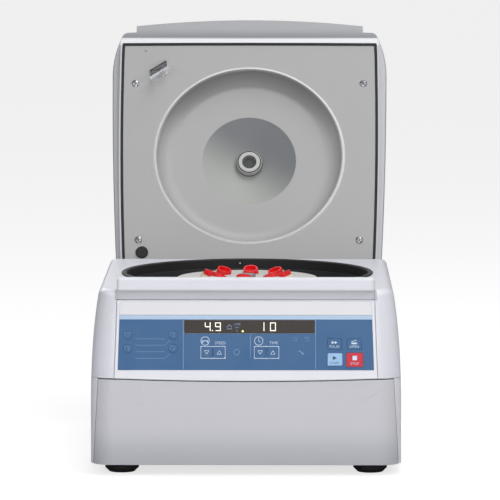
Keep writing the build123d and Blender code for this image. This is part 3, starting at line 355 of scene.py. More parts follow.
@dataclass(frozen=True)
class Finish:
    """One finish of the machine, with everything its material needs."""

    name: str
    colour: Colour
    second: Colour
    roughness: float = 0.4
    metallic: float = 0.0
    coat: float = 0.0
    coat_roughness: float = 0.12
    grain_size: float = 0.0012
    grain_depth: float = 0.5
    grain_bump: float = 0.00003
    grain_tint: float = 0.06
    smudge_size: float = 0.07
    smudge: float = 0.08
    edge_radius: float = 0.0006
    edge_wear: float = 0.0
    edge_colour: Colour = (0.8, 0.8, 0.8)
    dust: float = 0.0
    dust_colour: Colour = srgb(196, 192, 186)
    brushed: float = 0.0
    brushed_size: float = 0.0005
    transmission: float = 0.0
    ior: float = 1.46
    emission: float = 0.0
    specular: float = 0.5

    def build(self, effects: Effects) -> Material:
        """Make the material.

        Args:
            effects: the shared node groups.

        Returns:
            The material.
        """
        material = bpy.data.materials.new(self.name)
        material.use_nodes = True
        graph = Graph(material.node_tree)
        shader = material.node_tree.nodes["Principled BSDF"]
        place = graph.add("TexCoord").outputs["Object"]
        colour, roughness = self._surface(graph, effects, place)
        normal = self._normal(graph, effects, place)
        graph.feed(shader, Base_Color=colour, Roughness=roughness, Normal=normal)
        graph.feed(shader, Metallic=self.metallic, Coat_Weight=self.coat, IOR=self.ior,
                   Coat_Roughness=self.coat_roughness, Specular_IOR_Level=self.specular,
                   Transmission_Weight=self.transmission)
        if self.emission:
            graph.feed(shader, Emission_Color=(*self.colour, 1.0), Emission_Strength=self.emission)
        return material

    def _surface(self, graph: Graph, effects: Effects, place: Socket) -> tuple[Socket, Socket]:
        """Colour and roughness from the shared effects.

        Args:
            graph: the material's graph.
            effects: the shared node groups.
            place: the position socket.

        Returns:
            The colour and the roughness sockets.
        """
        grain = self._place(graph, effects.grain, place, Size=self.grain_size * 3, Depth=1.0)
        smudge = self._place(graph, effects.smudge, place, Size=self.smudge_size,
                             Amount=self.smudge)
        tint = graph.product(grain.outputs["Mask"], self.grain_tint)
        broad = graph.math("MULTIPLY_ADD", smudge.outputs["Mask"], self.grain_tint * 2, tint)
        base = self.base(graph, place)
        colour = graph.mix(broad, base, self.varied(graph, base))
        if self.edge_wear:
            edge = self._place(graph, effects.edges, place, Radius=self.edge_radius * 1.5,
                               Wear=self.edge_wear)
            colour = graph.mix(edge.outputs["Mask"], colour, self.edge_colour)
        if self.dust:
            dust = self._place(graph, effects.dust, place, Amount=self.dust)
            colour = graph.mix(dust.outputs["Mask"], colour, self.dust_colour)
        rough = graph.math("ADD", smudge.outputs["Roughness"], self.roughness)
        return colour, rough

    def varied(self, graph: Graph, base: object) -> object:
        """The tone that the base colour wanders to, as a colour or its socket."""
        return self.second

    def base(self, graph: Graph, place: Socket) -> object:
        """The colour under every effect, or its socket."""
        return self.colour

    def _normal(self, graph: Graph, effects: Effects, place: Socket) -> Socket:
        """The surface's normal with its grain and soft edges.

        Args:
            graph: the material's graph.
            effects: the shared node groups.
            place: the position socket.

        Returns:
            The normal's socket.
        """
        edge = self._place(graph, effects.edges, place, Radius=self.edge_radius, Wear=0.0)
        grain = self._place(graph, effects.grain, place, Size=self.grain_size,
                            Depth=self.grain_depth)
        height = grain.outputs["Height"]
        if self.brushed:
            lines = self._place(graph, effects.brushed, place, Size=self.brushed_size)
            height = graph.math("MULTIPLY_ADD", lines.outputs["Height"], self.brushed, height)
        bump = graph.add("Bump")
        graph.feed(bump, Height=height, Distance=self.grain_bump, Strength=1.0,
                   Normal=edge.outputs["Normal"])
        return bump.outputs[0]

    @staticmethod
    def _place(graph: Graph, tree: Tree, place: Socket, **values: float) -> bpy.types.Node:
        """Place a shared group in the material, with its position and numbers."""
        node = graph.add("Group", node_tree=tree)
        return graph.feed(node, Position=place, **values)


@dataclass(frozen=True)
class TonedFinish(Finish):
    """A finish with several tones, each set by its place on the piece."""

    def varied(self, graph: Graph, base: object) -> object:
        """A slightly darker tone of whichever tone is under it."""
        share, dark = 0.10, 0.4
        return graph.mix(share, base, tuple(channel * dark for channel in self.colour))


@dataclass(frozen=True, kw_only=True)
class BandedFinish(TonedFinish):
    """A finish whose tone changes at set heights, from the lowest band up."""

    bands: tuple[tuple[float, Colour], ...]
    blend: float = 0.0

    def base(self, graph: Graph, place: Socket) -> object:
        """Bands of colour up the piece.

        Args:
            graph: the material's graph.
            place: the position socket.

        Returns:
            The colour's socket.
        """
        up = graph.axes(place)["Z"]
        colour = self.colour
        for height, tone in self.bands:
            over = (graph.ramp(up, height - self.blend, height + self.blend) if self.blend
                    else graph.math("GREATER_THAN", up, height))
            colour = graph.mix(over, colour, tone)
        return colour


@dataclass(frozen=True, kw_only=True)
class HousingFinish(TonedFinish):
    """The upper housing, with painted shade on the inset band under its front ridge."""

    strip: Colour
    strip_low: float = 0.2119
    strip_high: float = 0.2245
    strip_half: float = 0.158
    strip_front: float = -0.290
    soft: float = 0.002

    def base(self, graph: Graph, place: Socket) -> object:
        """White with painted shade on the inset band under the ridge.

        Args:
            graph: the material's graph.
            place: the position socket.

        Returns:
            The colour's socket.
        """
        parts = graph.axes(place)
        aside = graph.math("ABSOLUTE", parts["X"])
        # Painted shade: the inset band under the ridge is darkened.
        mask = graph.product(
            graph.math("LESS_THAN", aside, self.strip_half),
            graph.math("LESS_THAN", parts["Y"], self.strip_front),
            graph.math("GREATER_THAN", parts["Z"], self.strip_low),
            graph.ramp(parts["Z"], self.strip_high + self.soft, self.strip_high - self.soft))
        return graph.mix(mask, self.colour, self.strip)


@dataclass(frozen=True, kw_only=True)
class LidPanelFinish(TonedFinish):
    """The lid's panel: pale grey, a painted highlight round the dish's lip and painted shade on
    the dish's upper side and across the dip round the port.
    """

    # Painted tones: the dip's darker and lighter shade, the lip's highlight and the shade on the
    # dish's upper side.
    cone: Colour
    cone_pale: Colour
    bead: Colour
    wall: Colour
    cone_middle: Point
    bead_middle: Point
    cone_r: float = 61.8 * MM
    wall_r: float = 106.0 * MM
    wall_soft: float = 3.0 * MM
    wall_rise: tuple[float, float] = (10 * MM, 90 * MM)
    bead_r: float = 125.0 * MM
    bead_half: float = 1.5 * MM
    soft: float = 0.4 * MM
    # The slant and the reach of the painted shade across the dip.
    cast: float = 0.55
    cast_reach: tuple[float, float] = (30 * MM, -50 * MM)

    def base(self, graph: Graph, place: Socket) -> object:
        """Grey with a painted highlight round the lip and painted shade on the dish's upper side
        and across the dip round the port.

        Args:
            graph: the material's graph.
            place: the position socket.

        Returns:
            The colour's socket.
        """
        offset = graph.vector("SUBTRACT", place, self.bead_middle)
        reach = graph.vector("LENGTH", offset)
        soft, low, high = self.soft, self.bead_r - self.bead_half, self.bead_r + self.bead_half
        # Painted shade on the upper side of the dish, inside its lip.
        wall = graph.product(
            graph.ramp(reach, self.wall_r - self.wall_soft, self.wall_r + self.wall_soft),
            graph.ramp(reach, low, low - soft),
            graph.ramp(graph.axes(offset)["Z"], *self.wall_rise))
        colour = graph.mix(wall, self.colour, self.wall)
        # A painted highlight round the dish's rolled lip.
        bead = graph.product(graph.ramp(reach, low - soft, low),
                             graph.ramp(reach, high, high - soft))
        colour = graph.mix(bead, colour, self.bead)
        offset = graph.vector("SUBTRACT", place, self.cone_middle)
        parts = graph.axes(offset)
        # Painted shade across the dip round the port, darkest at the upper right and lighter at
        # the lower left.
        lean = graph.math("MULTIPLY_ADD", parts["X"], self.cast, parts["Z"])
        tone = graph.mix(graph.ramp(lean, *self.cast_reach), self.cone, self.cone_pale)
        inside = graph.ramp(graph.vector("LENGTH", offset), self.cone_r + 2 * soft,
                            self.cone_r - 2 * soft)
        return graph.mix(inside, colour, tone)


@dataclass(frozen=True, kw_only=True)
class LevelFinish(TonedFinish):
    """Two tones that meet at a level along a direction."""

    under: Colour
    facing: Point
    level: float
    soft: float = 0.4 * MM

    def base(self, graph: Graph, place: Socket) -> object:
        """The piece's colour, and the other tone under the level.

        Args:
            graph: the material's graph.
            place: the position socket.

        Returns:
            The colour's socket.
        """
        along = graph.vector("DOT_PRODUCT", place, self.facing)
        near = graph.ramp(along, self.level + self.soft, self.level - self.soft)
        return graph.mix(near, self.colour, self.under)


@dataclass(frozen=True, kw_only=True)
class LidShellFinish(TonedFinish):
    """The lid's shell, with a painted highlight on the band next to the gasket and painted shade
    on the underside above it.
    """

    # Painted highlight and painted shade tones of the underside.
    rim: Colour
    grip: Colour
    grip_near: Colour
    facing: Point = (0.0, -0.891, 0.454)
    facing_share: tuple[float, float] = (0.6, 0.9)
    rim_low: float = 0.4905
    rim_high: float = 0.4985
    rim_soft: float = 0.001
    grip_soft: float = 0.0006
    grip_rise: float = 0.014

    def base(self, graph: Graph, place: Socket) -> object:
        """White with a painted highlight on the band next to the gasket and painted shade on the
        underside above it, darkest next to that band.

        Args:
            graph: the material's graph.
            place: the position socket.

        Returns:
            The colour's socket.
        """
        way = graph.vector("DOT_PRODUCT", graph.add("TexCoord").outputs["Normal"], self.facing)
        under, height = graph.ramp(way, *self.facing_share), graph.axes(place)["Z"]
        # A painted highlight on the underside's band next to the gasket.
        rim = graph.product(under, graph.ramp(height, self.rim_low - self.rim_soft, self.rim_low))
        colour = graph.mix(rim, self.colour, self.rim)
        # Painted shade on the underside above that band, darkest next to it.
        tone = graph.mix(graph.ramp(height, self.rim_high, self.rim_high + self.grip_rise),
                         self.grip_near, self.grip)
        over = graph.product(under, graph.ramp(height, self.rim_high - self.grip_soft,
                                               self.rim_high + self.grip_soft))
        return graph.mix(over, colour, tone)


def all_finishes() -> dict[Slot, Finish]:
    """Every finish of the machine by its slot.

    Returns:
        The finishes.
    """
    film = {"grain_tint": 0.02, "grain_bump": 0.00001}
    return {
        Slot.WHITE: Finish("white_moulding_finish", srgb(232, 232, 238), srgb(218, 218, 226),
                           roughness=0.36, coat=0.12, dust=0.10, smudge=0.06, grain_tint=0.05),
        Slot.WHITE_STEEL: Finish("white_steel_finish", srgb(226, 226, 230), srgb(206, 207, 212),
                                 roughness=0.5, grain_size=0.0008, grain_bump=0.00006,
                                 edge_wear=0.2, edge_colour=srgb(160, 160, 164)),
        Slot.PANEL: Finish("panel_grey_finish", srgb(176, 176, 173), srgb(160, 161, 160),
                           roughness=0.48, grain_size=0.0009, grain_bump=0.00004, dust=0.06),
        Slot.RUBBER: Finish("rubber_finish", srgb(30, 31, 33), srgb(46, 47, 50), roughness=0.62,
                            grain_size=0.0008, grain_bump=0.00005, dust=0.12),
        Slot.KEYPAD: BandedFinish("keypad_finish", srgb(56, 103, 152), srgb(50, 96, 144),
                                  roughness=0.5, **film,
                                  bands=((0.1892, srgb(188, 212, 240)),
                                         (0.1942, srgb(150, 152, 158)),
                                         (0.1947, srgb(236, 236, 240)))),
        Slot.START: Finish("start_key_finish", srgb(164, 202, 244), srgb(156, 194, 238),
                           roughness=0.46, **film),
        Slot.STOP: Finish("stop_key_finish", srgb(212, 30, 56), srgb(198, 24, 48),
                          roughness=0.46, **film),
        Slot.WINDOW: Finish("window_finish", srgb(66, 60, 57), srgb(60, 55, 52), roughness=0.5,
                            specular=0.25, grain_bump=0.000005),
        Slot.BOARD: Finish("board_finish", srgb(32, 92, 58), srgb(24, 76, 48)),
        Slot.CHAMBER: Finish("chamber_finish", srgb(52, 54, 58), srgb(66, 68, 72), roughness=0.42,
                             grain_bump=0.00005),
        Slot.SHEET_STEEL: Finish("sheet_steel_finish", srgb(168, 170, 174), srgb(140, 142, 148),
                                 roughness=0.38, metallic=1.0, smudge=0.2, brushed=0.6,
                                 grain_tint=0.15),
        Slot.ZINC: Finish("zinc_finish", srgb(176, 178, 180), srgb(150, 152, 158), roughness=0.32,
                          metallic=1.0, smudge=0.15, grain_tint=0.1),
        Slot.BRIGHT: Finish("bright_steel_finish", srgb(205, 206, 208), srgb(180, 182, 186),
                            roughness=0.22, metallic=1.0, brushed=0.8, smudge=0.12),
        Slot.CAST: Finish("cast_finish", srgb(168, 170, 174), srgb(146, 148, 152), roughness=0.46,
                          metallic=1.0, grain_size=0.002, grain_bump=0.00008),
        Slot.COPPER: Finish("winding_finish", srgb(184, 108, 62), srgb(150, 84, 44),
                            roughness=0.38, metallic=0.8, brushed=1.0),
        Slot.ROTOR: Finish("rotor_finish", srgb(216, 214, 212), srgb(204, 202, 200),
                           roughness=0.42, metallic=0.1, brushed=0.5, smudge=0.1),
        Slot.TUBE: Finish("tube_finish", srgb(226, 228, 232), srgb(216, 220, 226),
                          roughness=0.12, transmission=0.85, grain_bump=0.000008),
        Slot.CAP: Finish("cap_finish", srgb(234, 28, 36), srgb(218, 20, 28), roughness=0.36,
                         coat=0.05, grain_bump=0.00002),
        Slot.BLACK: Finish("black_plastic_finish", srgb(28, 28, 30), srgb(38, 38, 40),
                           roughness=0.5, grain_size=0.0009, grain_bump=0.00006),
        Slot.GLASS: Finish("port_glass_finish", srgb(120, 124, 126), srgb(110, 114, 116),
                           roughness=0.06, transmission=0.5, ior=1.5, grain_bump=0.000004),
    }


# ============================================================================ mesh tools
def finish_piece(name: str, mesh: Mesh, body: str, slot: Slot, material: Material,
                 smooth_deg: float = 35.0) -> bpy.types.Object:
    """Turn a bmesh into a piece that rides on a body.

    Args:
        name: the piece's name.
        mesh: the shape, in its place.
        body: the body that carries it.
        slot: the record's slot that its finish comes from; not used.
        material: its material.
        smooth_deg: edges sharper than this stay sharp.

    Returns:
        The piece.
    """
    bmesh.ops.remove_doubles(mesh, verts=mesh.verts, dist=1e-7)
    bmesh.ops.recalc_face_normals(mesh, faces=mesh.faces)
    limit = math.radians(smooth_deg)
    for edge in mesh.edges:
        edge.smooth = edge.is_manifold and edge.calc_face_angle(0.0) < limit
    for face in mesh.faces:
        face.smooth = True
    data = bpy.data.meshes.new(name)
    mesh.to_mesh(data)
    mesh.free()
    piece = bpy.data.objects.new(name, data)
    bpy.context.scene.collection.objects.link(piece)
    data.materials.append(material)
    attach(piece, body)
    return piece


def join_mesh(target: Mesh, source: Mesh) -> None:
    """Add one bmesh to another and free it.

    Args:
        target: the mesh that grows.
        source: the mesh that is taken in.
    """
    data = bpy.data.meshes.new("taken_in")
    source.to_mesh(data)
    source.free()
    target.from_mesh(data)
    bpy.data.meshes.remove(data)


@dataclass(frozen=True)
class Sheet:
    """A flat place for print: x to the right, y up the sheet and z outward."""

    corner: Vector
    up: Vector
    out: Vector

    def matrix(self) -> Matrix:
        """From the sheet's own axes to the frame.

        Returns:
            The transform.
        """
        right = self.up.cross(self.out)
        turn = Matrix((right, self.up, self.out)).transposed().to_4x4()
        return Matrix.Translation(self.corner) @ turn

    def height(self, z: float) -> float:
        """Distance up the sheet from its lower edge, for a height in the frame."""
        return (z - self.corner.z) / self.up.z


@dataclass
class Print:
    """Print on a sheet, gathered as one thin mesh."""

    sheet: Sheet
    thick: float = 0.06 * MM
    letter_scale: float = 1.38
    mesh: Mesh = field(default_factory=bmesh.new)

    def polygon(self, points: Iterable[tuple[float, float]]) -> None:
        """Add a filled outline.

        Args:
            points: corners on the sheet, in metres.
        """
        part = bmesh.new()
        part.faces.new([part.verts.new((x, y, 0.0)) for x, y in points])
        self._raise(part)

    def bar(self, left: float, low: float, right: float, high: float) -> None:
        """Add a filled rectangle between two corners."""
        self.polygon([(left, low), (right, low), (right, high), (left, high)])

    def line(self, start: tuple[float, float], end: tuple[float, float], width: float) -> None:
        """Add a straight line.

        Args:
            start, end: its ends.
            width: its width.
        """
        along = Vector(end) - Vector(start)
        side = Vector((-along.y, along.x)).normalized() * (width / 2)
        a, b = Vector(start), Vector(end)
        self.polygon([tuple(a - side), tuple(b - side), tuple(b + side), tuple(a + side)])

    def frame(self, left: float, low: float, right: float, high: float, width: float) -> None:
        """Add a rectangular outline drawn inward from its corners.

        Args:
            left, low: its lower corner.
            right, high: its upper corner.
            width: its line width.
        """
        self.bar(left, low, right, low + width)
        self.bar(left, high - width, right, high)
        self.bar(left, low + width, left + width, high - width)
        self.bar(right - width, low + width, right, high - width)

    def ring(self, centre: tuple[float, float], radius: float, width: float,
             share: float = 1.0, start: float = 0.0) -> None:
        """Add a ring or part of one.

        Args:
            centre: its middle.
            radius: its outer radius.
            width: its line width.
            share: how much of the circle is drawn.
            start: where it starts, in turns.
        """
        steps = max(8, round(36 * share))
        part = bmesh.new()
        inner = part.verts.new((radius - width, 0, 0))
        outer = part.verts.new((radius, 0, 0))
        edge = part.edges.new((inner, outer))
        bmesh.ops.spin(part, geom=[edge, inner, outer], cent=(0, 0, 0), axis=(0, 0, 1),
                       steps=steps, angle=math.tau * share, use_merge=share >= 1.0)
        turn = Matrix.Rotation(math.tau * start, 4, "Z")
        bmesh.ops.transform(part, matrix=Matrix.Translation((*centre, 0)) @ turn, verts=part.verts)
        self._raise(part)

    def disc(self, centre: tuple[float, float], radius: float) -> None:
        """Add a filled circle.

        Args:
            centre: its middle.
            radius: its radius.
        """
        part = bmesh.new()
        bmesh.ops.create_circle(part, cap_ends=True, segments=24, radius=radius,
                                matrix=Matrix.Translation((*centre, 0)))
        self._raise(part)

    def text(self, words: str, centre: tuple[float, float], size: float) -> None:
        """Add plain lettering.

        Args:
            words: what it says.
            centre: the middle of the words.
            size: the letters' height.
        """
        curve = bpy.data.curves.new("lettering", "FONT")
        curve.body = words
        curve.align_x = curve.align_y = "CENTER"
        curve.size = size * self.letter_scale
        curve.resolution_u = 3
        holder = bpy.data.objects.new("lettering", curve)
        data = bpy.data.meshes.new_from_object(holder)
        part = bmesh.new()
        part.from_mesh(data)
        bpy.data.objects.remove(holder)
        bpy.data.curves.remove(curve)
        bpy.data.meshes.remove(data)
        bmesh.ops.remove_doubles(part, verts=part.verts, dist=1e-6)
        bmesh.ops.transform(part, matrix=Matrix.Translation((*centre, 0)), verts=part.verts)
        self._raise(part)

    def _raise(self, part: Mesh) -> None:
        """Give a flat shape its thickness and add it to the print.

        Args:
            part: the flat shape.
        """
        grown = bmesh.ops.extrude_face_region(part, geom=list(part.faces))
        lifted = [item for item in grown["geom"] if isinstance(item, bmesh.types.BMVert)]
        bmesh.ops.translate(part, vec=(0, 0, self.thick), verts=lifted)
        bmesh.ops.recalc_face_normals(part, faces=part.faces)
        join_mesh(self.mesh, part)

    def piece(self, name: str, body: str, slot: Slot, material: Material) -> bpy.types.Object:
        """Finish the print as a piece.

        Args:
            name: its name.
            body: the body that carries it.
            slot: the slot of its finish.
            material: its material.

        Returns:
            The piece.
        """
        bmesh.ops.transform(self.mesh, matrix=self.sheet.matrix(), verts=self.mesh.verts)
        return finish_piece(name, self.mesh, body, slot, material)


# ============================================================================ keypad
@dataclass
class Keypad:
    """Print and digits on the sloping keypad."""

    ink: Material
    pale_ink: Material
    dark_ink: Material
    digit_ink: Material
    lamp: Material
    sheet_thick: float = 1.0 * MM
    digit_height: float = 10.4 * MM
    digit_width: float = 7.0 * MM
    stroke: float = 1.05 * MM
    point_r: float = 0.75 * MM
    thin: float = 0.45 * MM
    arrow_line: float = 0.6 * MM
    icon_line: float = 0.7 * MM
    frame_line: float = 0.95 * MM
    frame_x: float = 7.4 * MM
    frame_y: float = 7.6 * MM
    small_text: float = 2.3 * MM
    number_text: float = 3.4 * MM
    number_ring: float = 4.2 * MM
    field_text: float = 3.5 * MM
    field_ring: float = 5.4 * MM
    digits_from: float = 25.0 * MM
    legends_from: float = 54.6 * MM
    slope: float = field(init=False)
    face: Sheet = field(init=False)

    def sheet_of(self, node: str) -> Sheet:
        """The outer face of a plate that lies along the keypad's slope.

        Args:
            node: the plate's node.

        Returns:
            The face's sheet, its corner at its lower edge on x = 0.
        """
        rise, fall = math.cos(self.slope), math.sin(self.slope)
        low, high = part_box(node)
        deep, tall = high[1] - low[1], high[2] - low[2]
        thick = (deep * rise - tall * fall) / (rise * rise - fall * fall)
        corner = Vector((0, low[1], low[2] + thick * fall))
        return Sheet(corner, Vector((0, fall, rise)), Vector((0, -rise, fall)))

    def find_slope(self) -> float:
        """The keypad's lean from upright, from its box and its thickness.

        Returns:
            The angle in radians.
        """
        low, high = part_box("keypad_label")
        slope, rounds = 0.0, 12
        for _ in range(rounds):
            slope = math.atan2(high[1] - low[1] - self.sheet_thick * math.cos(slope),
                               high[2] - low[2] - self.sheet_thick * math.sin(slope))
        return slope

    def middle(self, node: str) -> tuple[float, float]:
        """The middle of a key: its x and its distance up the keypad's sheet."""
        low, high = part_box(node)
        return (low[0] + high[0]) / 2, self.face.height((low[2] + high[2]) / 2)

    def key_face(self, node: str) -> Sheet:
        """The outer face of a key, with the same x and y as the keypad's sheet."""
        lift = (self.sheet_of(node).corner - self.face.corner).dot(self.face.out)
        return Sheet(self.face.corner + self.face.out * lift, self.face.up, self.face.out)

    def build(self) -> None:
        """Make every print of the keypad."""
        self.slope = self.find_slope()
        self.face = self.sheet_of("keypad_label")
        self.rules()
        self.program_lines()
        self.speed_and_time()
        self.small_icons()
        self.key_prints()
        self.display()
        LOG.info("keypad printed")

    def rules(self) -> None:
        """Thin pale rules between the fields."""
        mark, height = Print(self.face), self.face.height
        half, foot, top = 0.35 * MM, 1.2 * MM, height(188.4 * MM)
        outer_rules = (-75.3 * MM, 84.1 * MM)
        for x in outer_rules:
            mark.bar(x - half, foot, x + half, top)
        mark.bar(5.2 * MM, height(143 * MM), 5.8 * MM, height(171 * MM))
        mark.piece("keypad_rules", "housing", Slot.KEYPAD, self.pale_ink)

    def program_lines(self) -> None:
        """Lines that join the program keys, and each key's number in its ring."""
        mark = Print(self.face)
        first, second, third = (self.middle(f"program_key_{number}") for number in (1, 2, 3))
        left, right, rise = first[0] + 9 * MM, second[0] - 10 * MM, 6 * MM
        lower = third[1]
        for row, dip, bent in ((first[1], 4.4 * MM, False), (first[1], 12.2 * MM, True),
                               (lower, 3.6 * MM, False), (lower, 11.6 * MM, True)):
            level = row - dip
            mark.line((left, level), (right, level), self.thin)
            if bent:
                mark.line((right, level), (right + rise, level + rise), self.thin)
        mark.piece("keypad_program_lines", "housing", Slot.KEYPAD, self.pale_ink)
        for number in range(1, 5):
            node = f"program_key_{number}"
            mark = Print(self.key_face(node))
            x, y = self.middle(node)
            mark.ring((x, y), self.number_ring, 0.5 * MM, share=0.55, start=0.02)
            mark.text(str(number), (x + 0.3 * MM, y - 0.4 * MM), self.number_text)
            mark.piece(node + "_print", node, Slot.KEYPAD, self.pale_ink)

    def speed_and_time(self) -> None:
        """Frames, icons and words of the speed and time fields."""
        mark = Print(self.face)
        for word, lower, upper in (("SPEED", "speed_down_key", "speed_up_key"),
                                   ("TIME", "time_down_key", "time_up_key")):
            (x0, y), (x1, _) = self.middle(lower), self.middle(upper)
            left, right = x0 - self.frame_x, x1 + self.frame_x
            low, high = y - self.frame_y, y + self.frame_y
            mark.frame(left, low, right, high, self.frame_line)
            mark.text(word, (right - 6.4 * MM, high + 3.6 * MM), self.field_text)
            x, y = icon = (left + 5.6 * MM, high + 6.2 * MM)
            mark.ring(icon, self.field_ring, self.icon_line)
            if word == "TIME":
                for along, up in ((0.0, 3.6 * MM), (2.2 * MM, -1.4 * MM)):
                    mark.line(icon, (x + along, y + up), self.icon_line)
            else:
                mark.bar(x - 3.6 * MM, y - 0.4 * MM, x + 3.6 * MM, y + 0.6 * MM)
                for foot in (x - 3.2 * MM, x + 3.2 * MM):
                    mark.bar(foot - 0.7 * MM, y - 2.4 * MM, foot + 0.7 * MM, y - 0.4 * MM)
        mark.piece("keypad_fields", "housing", Slot.KEYPAD, self.ink)
        for node, way in (("speed_down_key", -1), ("speed_up_key", 1),
                          ("time_down_key", -1), ("time_up_key", 1)):
            self.arrow(node, way)

    def arrow(self, node: str, way: int) -> None:
        """An outlined triangle on an up or down key.

        Args:
            node: the key's node.
            way: 1 points up and -1 down.
        """
        x, y = self.middle(node)
        mark = Print(self.key_face(node))
        reach, tall = 2.7 * MM, way * 2.3 * MM
        tip, left, right = (x, y + tall), (x - reach, y - tall), (x + reach, y - tall)
        for start, end in ((tip, left), (left, right), (right, tip)):
            mark.line(start, end, self.arrow_line)
        mark.piece(node + "_print", node, Slot.KEYPAD, self.ink)

    def small_icons(self) -> None:
        """Small marks between the fields."""
        mark, height = Print(self.face), self.face.height
        mark.ring((-11.0 * MM, height(149.8 * MM)), 3.6 * MM, 0.6 * MM)
        top, pitch = 167.2, 3.4
        for x, words in ((60.0 * MM, ("ACC", "1-9")), (73.6 * MM, ("DEC", "1-9"))):
            for row, word in enumerate(words):
                mark.text(word, (x, height((top - pitch * row) * MM)), self.small_text)
        x, y = corner = (63.6 * MM, height(151.6 * MM))
        mark.line(corner, (x + 6.2 * MM, y - 3.6 * MM), 1.0 * MM)
        mark.line((x + 3.4 * MM, y - 4.2 * MM), (x + 6.4 * MM, y - 3.9 * MM), 0.8 * MM)
        mark.piece("keypad_small_icons", "housing", Slot.KEYPAD, self.pale_ink)

    def key_prints(self) -> None:
        """Icons and words on the four command keys."""
        for word, size, drop, slot, ink in (
                ("PULSE", 3.3 * MM, 3.6 * MM, Slot.KEYPAD, self.ink),
                ("OPEN", 3.3 * MM, 3.6 * MM, Slot.KEYPAD, self.ink),
                ("START", 2.9 * MM, 4.4 * MM, Slot.START, self.dark_ink),
                ("STOP", 3.2 * MM, 4.6 * MM, Slot.STOP, self.ink)):
            node = word.lower() + "_key"
            x, y = self.middle(node)
            mark = Print(self.key_face(node))
            self.key_icon(mark, word, x, y)
            mark.text(word, (x, y - drop), size)
            mark.piece(node + "_print", node, slot, ink)

    def key_icon(self, mark: Print, word: str, x: float, y: float) -> None:
        """The icon over a command key's word.

        Args:
            mark: the print that takes it.
            word: the key's word.
            x, y: the key's middle.
        """
        if word == "PULSE":
            for shift in (-3.4 * MM, 0.2 * MM):
                self.triangle_right(mark, x + shift, y + 1.6 * MM, 3.6 * MM)
        elif word == "OPEN":
            mark.bar(x - 3.4 * MM, y - 0.4 * MM, x + 3.4 * MM, y + 1.6 * MM)
            mark.line((x - 3.4 * MM, y + 2.4 * MM), (x + 2.6 * MM, y + 4.6 * MM), 0.9 * MM)
        elif word == "START":
            self.triangle_right(mark, x - 2.6 * MM, y + 1.8 * MM, 5.0 * MM)
        else:
            mark.bar(x - 2.8 * MM, y - 0.4 * MM, x + 2.8 * MM, y + 5.0 * MM)

    @staticmethod
    def triangle_right(mark: Print, left: float, middle: float, size: float) -> None:
        """Add a filled triangle that points right from its left side."""
        half = size * 0.5
        mark.polygon([(left, middle - half), (left + size, middle), (left, middle + half)])

    def display(self) -> None:
        """The digits, lamps and small legends of the display."""
        low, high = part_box("display_window")
        face = self.key_face("display_window")
        centre = face.height((low[2] + high[2]) / 2)
        left = low[0] + self.digits_from
        mark = Print(face, thick=0.08 * MM)
        self.digit(mark, "4", left + 3.4 * MM, centre)
        mark.disc((left + 9.1 * MM, centre - self.digit_height / 2 + 0.6 * MM), self.point_r)
        for figure, place in (("9", 40.8 * MM), ("1", 93.2 * MM), ("0", 107.0 * MM)):
            self.digit(mark, figure, low[0] + place, centre)
        mark.piece("display_digits", "housing", Slot.WINDOW, self.digit_ink)

        mark, x = Print(face), low[0] + self.legends_from
        for start, end in (((-3.0, -0.8), (0.0, 2.6)), ((0.0, 2.6), (3.0, -0.8)),
                           ((-3.2, -2.6), (3.2, -2.6))):
            mark.line((x + start[0] * MM, centre + start[1] * MM),
                      (x + end[0] * MM, centre + end[1] * MM), 0.8 * MM)
        for row, words in enumerate(("x1000", "rpm", "g")):
            mark.text(words, (x + 9.2 * MM, centre + (3.0 - 3.5 * row) * MM), self.small_text)
        mark.piece("display_legends", "housing", Slot.WINDOW, self.pale_ink)
        mark = Print(face, thick=0.1 * MM)
        mark.disc((x + 16.0 * MM, centre - 5.4 * MM), 1.2 * MM)
        mark.piece("display_lamp", "housing", Slot.WINDOW, self.lamp)

    def digit(self, mark: Print, figure: str, x: float, y: float) -> None:
        """One seven-segment figure.

        Args:
            mark: the print that takes it.
            figure: the figure to show.
            x, y: its middle.
        """
        half = self.stroke / 2
        side, tall, cut = self.digit_width / 2 - half, self.digit_height / 2, self.stroke * 0.6
        gap = self.stroke * 0.16
        across = {"top": tall - half, "middle": 0.0, "bottom": half - tall}
        lit = {"0": ("top", "bottom", "ul", "ll", "ur", "lr"), "1": ("ur", "lr"),
               "4": ("middle", "ul", "ur", "lr"),
               "9": ("top", "middle", "bottom", "ul", "ur", "lr")}[figure]
        for name, level in across.items():
            if name in lit:
                wide = self.digit_width / 2 - cut
                mark.bar(x - wide, y + level - half, x + wide, y + level + half)
        for name in ("ul", "ll", "ur", "lr"):
            if name in lit:
                middle = x + (side if name[1] == "r" else -side)
                low, high = (gap, tall) if name[0] == "u" else (-tall, -gap)
                mark.bar(middle - half, y + low, middle + half, y + high)


# ============================================================================ sub-assemblies
RING_SMOOTH_DEG = 40.0


def flat_ring(inner: float, outer: float, thick: float, segments: int = 64) -> Mesh:
    """A flat ring round Z with softened edges.

    Args:
        inner, outer: its radii.
        thick: its thickness, upward from z = 0.
        segments: how many steps it has.

    Returns:
        The ring.
    """
    soft = thick * 0.35
    mesh = bmesh.new()
    corners = [mesh.verts.new((x, 0, z)) for x, z in
               ((inner, 0), (outer, 0), (outer, thick), (inner, thick))]
    mesh.faces.new(corners)
    bmesh.ops.bevel(mesh, geom=corners[2:], offset=soft, offset_type="OFFSET",
                    segments=2, profile=0.5, affect="VERTICES", material=-1)
    bmesh.ops.delete(mesh, geom=list(mesh.faces), context="FACES_ONLY")
    bmesh.ops.spin(mesh, geom=list(mesh.verts) + list(mesh.edges), cent=(0, 0, 0),
                   axis=(0, 0, 1), steps=segments, angle=math.tau, use_merge=True)
    bmesh.ops.remove_doubles(mesh, verts=mesh.verts, dist=1e-6)
    return mesh


